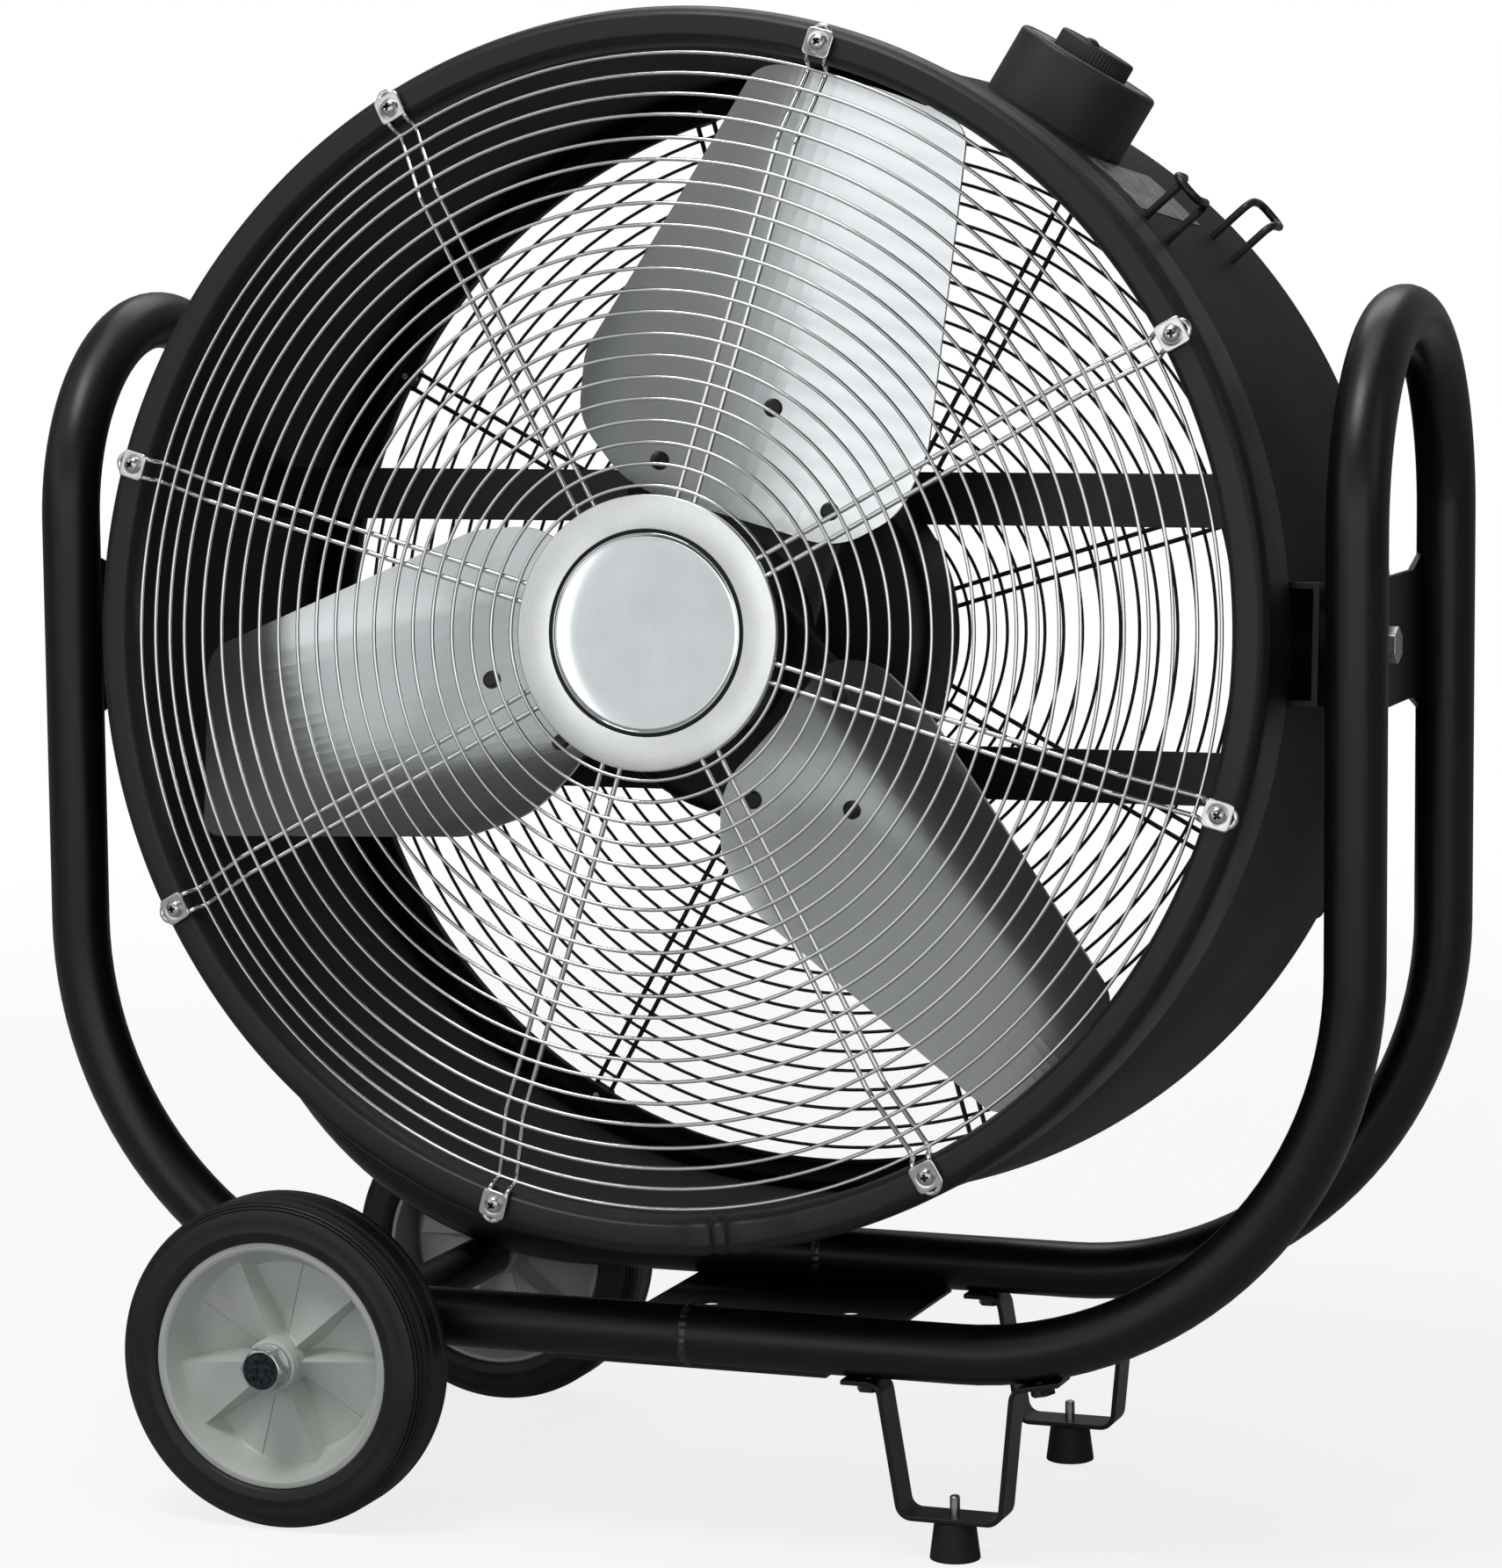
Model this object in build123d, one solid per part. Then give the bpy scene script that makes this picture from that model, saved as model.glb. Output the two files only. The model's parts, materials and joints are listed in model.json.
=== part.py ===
from build123d import *
import math
import os

# Drum fan on a wheeled tube frame, in millimetres. X runs to the right, Y to the back and Z up.
# The origin is on the floor under the middle of the drum.

# Frame tube
tube_radius = 17.5
tube_wall = 1.8
half_depth = 119.5
loop_rise = 70.0
bend_radius = 232.0
ground_clearance = 103.5
sleeve_length = 90.0
sleeve_wall = 2.0

# Wheels and axle
wheel_radius = 100.0
wheel_width = 46.0
wheel_side_gap = 9.0
tyre_shoulder = 12.0
tyre_edge = 2.0
hub_radius = 74.5
hub_rim_wall = 5.0
hub_width = 42.0
hub_recess = 15.0
hub_step = 9.0
hub_draft = 11.0
hub_web = 3.0
hub_sectors = 10
hub_sector_start = 4.0
boss_radius = 16.0
boss_length = 42.0
bush_radius = 11.0
axle_radius = 8.0
axle_tube_radius = 14.5
axle_tube_wall = 2.0
axle_tube_overhang = 5.0
plug_length = 15.0
axle_nut_width = 24.0
axle_nut_height = 10.0
axle_nut_face = 2.0
axle_washer_radius = 14.0
axle_washer_thickness = 2.5
running_clearance = 0.05
side_clearance = 0.3

# Base plate
base_bracket_gap = 12.0
base_lap = 2.0
base_thickness = 2.5
base_hole_radius = 6.5
base_hole_inset = 39.0
base_hole_spacing_y = 76.0

# Feet and their brackets
bracket_inset = 2.5
bracket_width = 25.0
strap_thickness = 3.0
flange_reach = 66.0
flange_bolt_reach = 52.0
strap_top_reach = 42.0
strap_bottom_reach = 29.0
foot_height = 23.0
foot_bottom_radius = 15.0
foot_top_radius = 12.0
stud_radius = 3.0
stud_reach = 11.5
bracket_bolt_radius = 4.0
bracket_bolt_head = 13.0
bracket_bolt_head_height = 5.0
bracket_bolt_spare = 8.0
bolt_hole_clearance = 0.1

# Drum
drum_sweep_clearance = 11.5
nose_up = 4.3
barrel_radius = 355.0
barrel_wall = 2.5
drum_half_depth = 165.0
rim_flare = 3.0
rim_depth = 15.0
flare_depth = 60.0
lip_inset = 19.5
lip_back = 17.0
sheath_thickness = 1.5
rim_flat = 9.0

# Grilles
clip_inset = 9.0
clip_angle = 29.3
rear_clip_angle = 17.0
spoke_count = 8
spoke_wire_radius = 1.5
spoke_half_gap = 5.5
spoke_end_reach = 10.0
spoke_badge_overlap = 13.0
spoke_dip_inset = 22.2
spoke_rise_inset = 19.0
spoke_set_back = 11.0
ring_wire_radius = 1.1
outer_ring_inset = 25.0
ring_badge_gap = 5.0
ring_count = 21
dish_inset = 67.0
dish_rise = 9.0
clip_size = 16.0
clip_corner = 2.5
clip_thickness = 1.2
screw_head_radius = 5.0
screw_head_height = 3.2
screw_radius = 2.25
screw_length = 12.0
badge_radius = 79.0
badge_disc_radius = 57.0
badge_groove = 1.5
badge_thickness = 1.5
badge_disc_lift = 0.5
badge_disc_edge = 1.2
badge_stem_radius = 5.0
badge_back_inset = 3.0
rear_plate_radius = 70.0
rear_plate_thickness = 2.0

# Fan
blade_count = 3
blade_angle = 72.8
blade_tip_clearance = 20.5
blade_tip_half_width = 57.0
blade_root_half_width = 92.0
blade_neck_half_width = 86.5
blade_inner_half_width = 57.0
blade_root_reach = 140.0
blade_neck_reach = 100.0
blade_inner_reach = 70.0
blade_corner_radius = 18.0
blade_root_corner_radius = 42.0
blade_camber_radius = 224.0
blade_pitch = 24.7
blade_thickness = 2.5
blade_middle = -86.0
blade_bolt_outer = 138.0
blade_bolt_inner = 90.0
blade_bolt_side = 47.0
blade_bolt_radius = 3.0
blade_bolt_head_radius = 5.5
blade_bolt_head_height = 2.6
blade_bolt_seat = 0.1
arm_thickness = 8.0
arm_reach = 153.0
arm_tip_half_width = 16.0
arm_root_half_width = 58.0
spider_hub_radius = 62.0
spider_hub_back = -38.0
spider_hub_front = -122.0
spider_hub_wall = 8.0
spider_boss_radius = 22.0

# Motor
motor_radius = 113.0
motor_front = -8.0
motor_back = 50.0
motor_wall = 5.0
motor_cap_thickness = 6.0
shaft_radius = 9.5
shaft_front = -146.0
bearing_radius = 23.5
bearing_width = 14.0
bearing_seat_wall = 5.0
stator_length = 34.0
rotor_radius = 60.0
air_gap = 0.5
shaft_nut_width = 24.0
shaft_nut_height = 12.0
strut_height = 32.0
strut_thickness = 5.0
strut_offset = 83.0
strut_bolt_radius = 4.0
strut_bolt_spacing = 80.0
strut_bolt_head = 13.0
strut_bolt_head_height = 5.5
capacitor_radius = 17.0
capacitor_length = 60.0

# Side pivots
side_plate_thickness = 4.0
leg_offset = 15.5
side_plate_half_height = 38.0
side_plate_flare = 12.0
side_plate_flare_depth = 18.0
channel_reach = 16.0
channel_root = 25.0
channel_half_length = 98.0
channel_half_height = 35.0
channel_wall = 4.0
pivot_radius = 6.0
pivot_head_width = 19.0
pivot_head_height = 7.5
pivot_nut_height = 8.0
pivot_spacer_radius = 17.0
pivot_spacer_length = 10.7
pivot_washer_radius = 12.0
pivot_washer_thickness = 1.6

# Control housing, plate and cord hooks
control_angle = 58.9
control_radius = 45.0
control_height = 40.0
control_edge = 3.0
control_root = 20.0
control_wall = 3.0
control_rim = 5.0
face_recess = 2.0
face_thickness = 2.5
knob_radius = 24.0
knob_height = 12.0
knob_rib_depth = 0.8
knob_rib_count = 36
knob_wall = 3.0
spindle_radius = 3.0
switch_width = 34.0
switch_height = 20.0
gland_radius = 9.0
gland_length = 16.0
gland_bore_radius = 4.5
hook_angle = 41.3
hook_wire_radius = 2.0
hook_half_gap = 9.5
hook_reach = 34.0
hook_lip = 25.0
hook_bend_radius = 5.0
hook_front_y = -76.0
hook_rear_y = 75.0
plate_angle = 47.6
plate_width = 44.6
plate_half_length = 66.0
plate_thickness = 0.6

# Places that follow from the sizes above
channel_face = barrel_radius + channel_reach
side_plate_inside = channel_face + pivot_spacer_length + side_clearance
half_width = side_plate_inside + leg_offset
rim_radius = barrel_radius + rim_flare
rim_start = drum_half_depth - rim_depth
barrel_straight = drum_half_depth - flare_depth
lip_radius = barrel_radius - lip_inset
lip_depth = drum_half_depth - lip_back
clip_circle_radius = barrel_radius - clip_inset
run_height = ground_clearance + tube_radius
drum_corner = math.hypot(rim_radius, drum_half_depth)
drum_height = run_height + math.sqrt((drum_corner + drum_sweep_clearance + tube_radius) ** 2 - half_depth ** 2)
loop_centre_height = drum_height + loop_rise
base_depth = 2 * (half_depth + base_lap)
wheel_middle = half_depth + tube_radius + wheel_side_gap + wheel_width / 2
bend_x = half_width - bend_radius
bracket_x = bend_x - bracket_inset
base_half_length = bracket_x - flange_reach - base_bracket_gap
base_hole_x = base_half_length - base_hole_inset
bend_z = run_height + bend_radius
wheel_drop = bend_z - wheel_radius
axle_offset = bend_radius + tube_radius + axle_tube_radius
axle_x = -(bend_x + math.sqrt(axle_offset ** 2 - wheel_drop ** 2))
strap_bottom = foot_height
spoke_inner_radius = badge_radius - spoke_badge_overlap
spoke_dip_radius = barrel_radius - spoke_dip_inset
spoke_rise_radius = barrel_radius - spoke_rise_inset
outer_ring_radius = barrel_radius - outer_ring_inset
ring_pitch = (outer_ring_radius - badge_radius - ring_badge_gap) / (ring_count - 1)
dish_radius = barrel_radius - dish_inset
wire_plane = drum_half_depth + spoke_wire_radius
ring_gap = spoke_wire_radius + ring_wire_radius
dish_plane = wire_plane + dish_rise
blade_tip_radius = barrel_radius - barrel_wall - blade_tip_clearance
control_top = barrel_radius + control_height
strut_face = motor_back + motor_cap_thickness
hub_outer_edge = hub_width / 2

os.makedirs("parts", exist_ok=True)
drum_place = Pos(0, 0, drum_height) * Rot(-nose_up, 0, 0)


def save(name, *solids):
    pieces = [solid for shape in solids for solid in shape.solids()]
    whole = pieces[0] if len(pieces) == 1 else Compound(children=pieces)
    export_step(whole, f"parts/{name}.step")


def save_on_drum(name, *solids):
    save(name, *[drum_place * solid for solid in solids])


def rod(radius, start, end, centre=(0, 0), axis="Y"):
    # A round bar along one axis, from start to end, with its centre given on the two other axes.
    length = end - start
    bar = Cylinder(radius, length, align=(Align.CENTER, Align.CENTER, Align.MIN))
    first, second = centre
    if axis == "X":
        return Pos(start, first, second) * Rot(0, 90, 0) * bar
    if axis == "Y":
        return Pos(first, start, second) * Rot(-90, 0, 0) * bar
    return Pos(first, second, start) * bar


def ring(outer, inner, start, end, centre=(0, 0), axis="Y"):
    bore = rod(inner, start - 1, end + 1, centre, axis)
    return rod(outer, start, end, centre, axis) - bore


def block(x_from, x_to, y_from, y_to, z_from, z_to):
    solid = Box(x_to - x_from, y_to - y_from, z_to - z_from, align=(Align.MIN,) * 3)
    return Pos(x_from, y_from, z_from) * solid


def hexagon_bar(width, start, end, centre=(0, 0), axis="Y"):
    plan = RegularPolygon(width / 2, 6, major_radius=False)
    bar = extrude(plan, end - start)
    first, second = centre
    if axis == "X":
        return Pos(start, first, second) * Rot(0, 90, 0) * bar
    if axis == "Y":
        return Pos(first, start, second) * Rot(-90, 0, 0) * bar
    return Pos(first, second, start) * bar


def turned(lines):
    # A solid turned about the drum axis. Its section is drawn as radius along X and depth along Y.
    return revolve(make_face(lines), Axis.Y)


def around(solid, angle):
    # Turns a piece about the drum axis, counterclockwise as seen from the front.
    return Rot(0, -angle, 0) * solid


def swept(path, radius):
    start = Plane(origin=path @ 0, z_dir=path % 0)
    return sweep(start * Circle(radius), path=path)


# ---------------------------------------------------------------- frame


def frame_path(side):
    # Centre line of one half: bottom run, bend, leg, loop, leg, bend, bottom run.
    leg = side * half_width
    low = side * bend_x
    slant = bend_radius * math.sin(math.radians(45))
    parts = []
    for y in (-half_depth, half_depth):
        run = Line((0, y, run_height), (low, y, run_height))
        middle = (low + side * slant, y, bend_z - slant)
        bend = ThreePointArc((low, y, run_height), middle, (leg, y, bend_z))
        upright = Line((leg, y, bend_z), (leg, y, loop_centre_height))
        parts.append([run, bend, upright])
    front, rear = parts
    loop_top = (leg, 0, loop_centre_height + half_depth)
    loop = ThreePointArc(front[2] @ 1, loop_top, rear[2] @ 1)
    return Wire(front + [loop] + rear)


def bracket_bolt_places():
    # The tube rises in its bend, so the outer bolt sits square to the tube on the slope.
    places = []
    for reach in (-flange_bolt_reach, flange_bolt_reach):
        x = bracket_x + reach
        lean = math.asin(max(0.0, x - bend_x) / (bend_radius + tube_radius))
        if lean > 0:
            x = bend_x + (bend_radius + tube_radius) * math.sin(lean)
        z = bend_z - (bend_radius + tube_radius) * math.cos(lean)
        places.append((x, z, math.degrees(lean)))
    return places


def upright_bolt(head_width, head_height, radius, length):
    # A hex bolt that points up: its head hangs below Z 0 and its shank stands above.
    head = hexagon_bar(head_width, -head_height, 0, axis="Z")
    return head + rod(radius, 0, length, axis="Z")


def at_bolt_places(make_solid):
    solids = []
    for y in (-half_depth, half_depth):
        for x, z, lean in bracket_bolt_places():
            solids.append(Pos(x, y, z) * Rot(0, -lean, 0) * make_solid())
    return solids


def frame_half(side):
    path = frame_path(side)
    tube = swept(path, tube_radius) - swept(path, tube_radius - tube_wall)
    if side > 0:
        hole = bracket_bolt_radius + bolt_hole_clearance
        depth = tube_radius
        for drill in at_bolt_places(lambda: rod(hole, -1, depth, axis="Z")):
            tube -= drill
    return tube


def joint_sleeves():
    outer = tube_radius - tube_wall
    half = sleeve_length / 2
    return [
        ring(outer, outer - sleeve_wall, -half, half, (y, run_height), "X")
        for y in (-half_depth, half_depth)
    ]


def side_plate(side):
    # A flat plate between the legs, flared where it meets them and coped to the tube.
    reach = half_depth
    flare_start = reach - tube_radius - side_plate_flare_depth
    high = side_plate_half_height
    wide = side_plate_half_height + side_plate_flare
    corners = [(-reach, wide), (-flare_start, high), (flare_start, high), (reach, wide)]
    outline = corners + [(y, -z) for y, z in reversed(corners)]
    points = [(0, y, drum_height + z) for y, z in outline]
    plate = extrude(make_face(Polyline(*points, close=True)), side_plate_thickness, (1, 0, 0))
    inside = side_plate_inside if side > 0 else -side_plate_inside - side_plate_thickness
    plate = Pos(inside, 0, 0) * plate
    cope_reach = wide + tube_radius
    for y in (-half_depth, half_depth):
        leg = rod(tube_radius, drum_height - cope_reach, drum_height + cope_reach, (side * half_width, y), "Z")
        plate -= leg
    middle = max(plate.solids(), key=lambda solid: solid.volume)
    bore = pivot_radius + running_clearance
    low, high_x = inside - 1, inside + side_plate_thickness + 1
    return middle - rod(bore, low, high_x, (0, drum_height), "X")


def base_plate():
    top = ground_clearance
    half_length, half_width_y = base_half_length, base_depth / 2
    low = top - base_thickness
    plate = block(-half_length, half_length, -half_width_y, half_width_y, low, top)
    for x in (-base_hole_x, base_hole_x):
        for y in (-base_hole_spacing_y / 2, base_hole_spacing_y / 2):
            plate -= rod(base_hole_radius, low - 1, top + 1, (x, y), "Z")
    return plate


def strap_outline(points, thickness):
    # Gives a bent centre strap its thickness below and outside the line of points.
    outer = []
    for index, point in enumerate(points):
        here = Vector(*point)
        normals = []
        if index > 0:
            run = (here - Vector(*points[index - 1])).normalized()
            normals.append(Vector(run.Y, -run.X, 0))
        if index < len(points) - 1:
            run = (Vector(*points[index + 1]) - here).normalized()
            normals.append(Vector(run.Y, -run.X, 0))
        middle = normals[0]
        if len(normals) == 2:
            middle = (normals[0] + normals[1]).normalized()
        shift = middle * (thickness / middle.dot(normals[0]))
        outer.append((here.X + shift.X, here.Y + shift.Y))
    return list(points) + outer[::-1]


def foot_bracket(y_middle):
    # Top face of the strap: flange, leg, bottom, leg, and a flange that follows the tube's bend.
    inner_bolt, outer_bolt = bracket_bolt_places()
    lean = math.radians(outer_bolt[2])
    outer_run = flange_reach - flange_bolt_reach
    inner_run = flange_bolt_reach - strap_top_reach
    tip = (outer_bolt[0] + outer_run * math.cos(lean), outer_bolt[1] + outer_run * math.sin(lean))
    top_right = (outer_bolt[0] - inner_run * math.cos(lean), outer_bolt[1] - inner_run * math.sin(lean))
    floor = strap_bottom + strap_thickness
    points = [
        (bracket_x - flange_reach, ground_clearance),
        (bracket_x - strap_top_reach, ground_clearance),
        (bracket_x - strap_bottom_reach, floor),
        (bracket_x + strap_bottom_reach, floor),
        top_right,
        tip,
    ]
    outline = strap_outline(points, strap_thickness)
    face = make_face(Polyline(*[(x, 0, z) for x, z in outline], close=True))
    strap = extrude(face, bracket_width / 2, (0, 1, 0), both=True)
    strap = Pos(0, y_middle, 0) * strap
    hole = bracket_bolt_radius + bolt_hole_clearance
    for drill in at_bolt_places(lambda: rod(hole, -2 * strap_thickness, 1, axis="Z")):
        strap -= drill
    stud_hole = stud_radius + bolt_hole_clearance
    strap -= rod(stud_hole, strap_bottom - 1, floor + 1, (bracket_x, y_middle), "Z")
    return strap


def bracket_bolts():
    length = strap_thickness + tube_wall + bracket_bolt_spare

    def bolt():
        lowered = upright_bolt(bracket_bolt_head, bracket_bolt_head_height, bracket_bolt_radius, length)
        return Pos(0, 0, -strap_thickness) * lowered

    return at_bolt_places(bolt)


def rubber_foot(y_middle):
    cone = Cone(foot_bottom_radius, foot_top_radius, foot_height,
                align=(Align.CENTER, Align.CENTER, Align.MIN))
    foot = Pos(bracket_x, y_middle, 0) * cone
    return foot - rod(stud_radius, foot_height / 2, foot_height + 1, (bracket_x, y_middle), "Z")


def foot_stud(y_middle):
    top = strap_bottom + strap_thickness + stud_reach
    return rod(stud_radius, foot_height / 2, top, (bracket_x, y_middle), "Z")


# ---------------------------------------------------------------- axle and wheels


def axle_parts():
    centre = (axle_x, wheel_radius)
    half = half_depth + tube_radius + axle_tube_overhang
    bore = axle_tube_radius - axle_tube_wall
    tube = ring(axle_tube_radius, bore, -half, half, centre)
    plugs = [
        ring(bore, axle_radius, -half, plug_length - half, centre),
        ring(bore, axle_radius, half - plug_length, half, centre),
    ]
    boss_inside = wheel_middle - boss_length / 2 - side_clearance
    boss_outside = wheel_middle + boss_length / 2 + side_clearance
    spacers = []
    nuts = []
    washer_outside = boss_outside + axle_washer_thickness
    nut_outside = washer_outside + axle_nut_height
    rod_end = nut_outside - axle_nut_face
    for side in (-1, 1):
        for near, far in ((half, boss_inside), (boss_outside, washer_outside)):
            low, high = sorted((side * near, side * far))
            spacers.append(ring(axle_washer_radius, axle_radius, low, high, centre))
        low, high = sorted((side * washer_outside, side * nut_outside))
        nut = hexagon_bar(axle_nut_width, low, high, centre)
        low, high = sorted((side * half, side * rod_end))
        nuts.append(nut - rod(axle_radius, low, high, centre))
    axle = rod(axle_radius, -rod_end, rod_end, centre)
    return tube, plugs, axle, spacers, nuts


def wheel_tyre():
    # Section of the solid tyre: flat tread, rounded shoulders and straight sides.
    half = wheel_width / 2
    shoulder = tyre_shoulder
    edge = tyre_edge
    tread = half - shoulder
    low = wheel_radius - shoulder
    corner = shoulder * (1 - math.sin(math.radians(45)))
    lines = [
        Line((hub_radius, -half + edge), (hub_radius + edge, -half)),
        Line((hub_radius + edge, -half), (low, -half)),
        ThreePointArc((low, -half), (wheel_radius - corner, -half + corner), (wheel_radius, -tread)),
        Line((wheel_radius, -tread), (wheel_radius, tread)),
        ThreePointArc((wheel_radius, tread), (wheel_radius - corner, half - corner), (low, half)),
        Line((low, half), (hub_radius + edge, half)),
        Line((hub_radius + edge, half), (hub_radius, half - edge)),
        Line((hub_radius, half - edge), (hub_radius, -half + edge)),
    ]
    return turned(lines)


def sector(outer, inner, start, end, from_angle, to_angle):
    # Part of a flat ring between two angles, as seen from the front.
    middle = math.radians((from_angle + to_angle) / 2)
    first, last = math.radians(from_angle), math.radians(to_angle)

    def at(radius, angle):
        return (radius * math.cos(angle), start, radius * math.sin(angle))

    lines = [
        ThreePointArc(at(outer, first), at(outer, middle), at(outer, last)),
        Line(at(outer, last), at(inner, last)),
        ThreePointArc(at(inner, last), at(inner, middle), at(inner, first)),
        Line(at(inner, first), at(outer, first)),
    ]
    return extrude(make_face(lines), end - start, (0, 1, 0))


def hub_band():
    # Section of the hub's rim: a thin outer wall and a band that slopes in to the low sectors.
    front, back = -hub_outer_edge, hub_outer_edge
    wall = hub_web
    mouth = hub_radius - hub_rim_wall
    throat = mouth - hub_draft
    floor = front + hub_recess + hub_step + wall
    corners = [
        (hub_radius, front),
        (mouth, front),
        (throat, floor - wall),
        (throat, floor),
        (throat + wall, floor),
        (hub_radius - wall, front + wall),
        (hub_radius - wall, back),
        (hub_radius, back),
    ]
    return turned([Line(first, second) for first, second in zip(corners, corners[1:] + corners[:1])])


def wheel_hub():
    # The hub faces the front: five raised sectors alternate with five low ones.
    front = -hub_outer_edge
    raised = front + hub_recess
    low = raised + hub_step
    slope = hub_draft / (hub_recess + hub_step)
    hub = hub_band() + ring(boss_radius, bush_radius, -boss_length / 2, boss_length / 2)
    angle = 360 / hub_sectors
    web_inner = (boss_radius + bush_radius) / 2
    for index in range(hub_sectors):
        begin = hub_sector_start + index * angle
        level = low if index % 2 == 0 else raised
        web_outer = hub_radius - hub_rim_wall - slope * (level - front) + hub_web / 4
        hub += sector(web_outer, web_inner, level, level + hub_web, begin, begin + angle)
        wall = block(web_inner, web_outer, raised, low + hub_web, -hub_web / 2, hub_web / 2)
        hub += around(wall, begin)
    return hub


def wheel_bush():
    bore = axle_radius + running_clearance
    return ring(bush_radius, bore, -boss_length / 2, boss_length / 2)


def save_wheels():
    places = {
        "front": Pos(axle_x, -wheel_middle, wheel_radius),
        "rear": Pos(axle_x, wheel_middle, wheel_radius) * Rot(0, 0, 180),
    }
    for name, place in places.items():
        save(f"tyre_{name}", place * wheel_tyre())
        save(f"hub_{name}", place * wheel_hub())
        save(f"bush_{name}", place * wheel_bush())


# ---------------------------------------------------------------- drum shell and rims


def rim_section(end, outer, face, lip, lip_end, start):
    # Half of a closed line: gentle flare, rolled edge, flat land for the screws, rolled inner lip.
    bulge = math.sin(math.radians(45))
    land_out = clip_circle_radius + rim_flat / 2
    land_in = clip_circle_radius - rim_flat / 2
    out_middle = (land_out + bulge * (outer - land_out), end * (rim_start + bulge * (face - rim_start)))
    in_middle = (land_in - bulge * (land_in - lip), end * (lip_end + bulge * (face - lip_end)))
    return [
        Line((barrel_radius + start, end * barrel_straight), (outer, end * rim_start)),
        ThreePointArc((outer, end * rim_start), out_middle, (land_out, end * face)),
        Line((land_out, end * face), (land_in, end * face)),
        ThreePointArc((land_in, end * face), in_middle, (lip, end * lip_end)),
    ]


def drum_shell():
    front_outer = rim_radius - sheath_thickness
    front_lip = lip_radius + sheath_thickness
    front_face = drum_half_depth - sheath_thickness
    wall = barrel_wall
    inner = barrel_radius - wall
    lines = [Line((barrel_radius, -barrel_straight), (barrel_radius, barrel_straight))]
    lines += [Line((inner, -barrel_straight), (inner, barrel_straight))]
    sizes = ((-1, front_outer, front_face, front_lip), (1, rim_radius, drum_half_depth, lip_radius))
    for end, outer, face, lip in sizes:
        lines += rim_section(end, outer, face, lip, lip_depth, 0)
        lines += rim_section(end, outer - wall, face - wall, lip + wall, lip_depth, -wall)
        lines.append(Line((lip, end * lip_depth), (lip + wall, end * lip_depth)))
    shell = turned(lines)
    for index in range(spoke_count):
        hole = screw_radius + bolt_hole_clearance
        front_drill = rod(hole, -drum_half_depth, -rim_start, (clip_circle_radius, 0))
        rear_drill = rod(hole, rim_start, drum_half_depth + 1, (clip_circle_radius, 0))
        shell -= around(front_drill, clip_angle + index * 360 / spoke_count)
        shell -= around(rear_drill, rear_clip_angle + index * 360 / spoke_count)
    return shell


def rim_sheath():
    thin = sheath_thickness
    inner_lines = rim_section(-1, rim_radius - thin, drum_half_depth - thin, lip_radius + thin, lip_depth, 0)
    outer_lines = rim_section(-1, rim_radius, drum_half_depth, lip_radius, lip_depth, thin)
    ends = [
        Line((barrel_radius, -barrel_straight), (barrel_radius + thin, -barrel_straight)),
        Line((lip_radius, -lip_depth), (lip_radius + thin, -lip_depth)),
    ]
    sheath = turned(inner_lines + outer_lines + ends)
    for index in range(spoke_count):
        hole = screw_radius + bolt_hole_clearance
        drill = rod(hole, -drum_half_depth - 1, -rim_start, (clip_circle_radius, 0))
        sheath -= around(drill, clip_angle + index * 360 / spoke_count)
    return sheath


# ---------------------------------------------------------------- grilles


def ring_places():
    # Radius and depth of each front ring's centre: the outer rings follow the dish forward.
    places = []
    slope = (dish_rise + spoke_set_back) / (spoke_dip_radius - dish_radius)
    for index in range(ring_count):
        radius = outer_ring_radius - index * ring_pitch
        on_slope = radius > dish_radius
        depth = dish_plane - slope * max(0.0, radius - dish_radius)
        lean = math.atan(slope) if on_slope else 0.0
        places.append((radius + ring_gap * math.sin(lean), -depth - ring_gap * math.cos(lean)))
    return places


def wire_ring(radius, depth, wire_radius):
    return Pos(0, depth, 0) * Rot(90, 0, 0) * Torus(radius, wire_radius)


def hairpin(stations):
    # Two parallel wires joined by a half turn at the rim. Stations are (radius, depth) from the middle.
    gap = spoke_half_gap
    end_radius, end_depth = stations[-1]
    lower = [(radius, depth, -gap) for radius, depth in stations[:-1]]
    tail = (end_radius - gap, end_depth, -gap)
    side = [Line(first, second) for first, second in zip(lower, lower[1:] + [tail])]
    turn = ThreePointArc(tail, (end_radius, end_depth, 0), (end_radius - gap, end_depth, gap))
    other = [
        Line(mirror_point(line @ 1), mirror_point(line @ 0))
        for line in reversed(side)
    ]
    path = Wire(side + [turn] + other)
    start = Plane(origin=path @ 0, z_dir=path % 0)
    return sweep(start * Circle(spoke_wire_radius), path=path, transition=Transition.RIGHT)


def mirror_point(point):
    return (point.X, point.Y, -point.Z)


def front_spokes():
    stations = [
        (spoke_inner_radius, -dish_plane),
        (dish_radius, -dish_plane),
        (spoke_dip_radius, -wire_plane + spoke_set_back),
        (spoke_rise_radius, -wire_plane),
        (clip_circle_radius + spoke_end_reach, -wire_plane),
    ]
    spoke = hairpin(stations)
    return [around(spoke, clip_angle + index * 360 / spoke_count) for index in range(spoke_count)]


def rear_spokes():
    outer = clip_circle_radius + spoke_end_reach
    spoke = hairpin([(spoke_inner_radius, wire_plane), (outer, wire_plane)])
    return [around(spoke, rear_clip_angle + index * 360 / spoke_count) for index in range(spoke_count)]


def rear_rings():
    return [
        wire_ring(outer_ring_radius - index * ring_pitch, wire_plane + ring_gap, ring_wire_radius)
        for index in range(ring_count)
    ]


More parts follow.
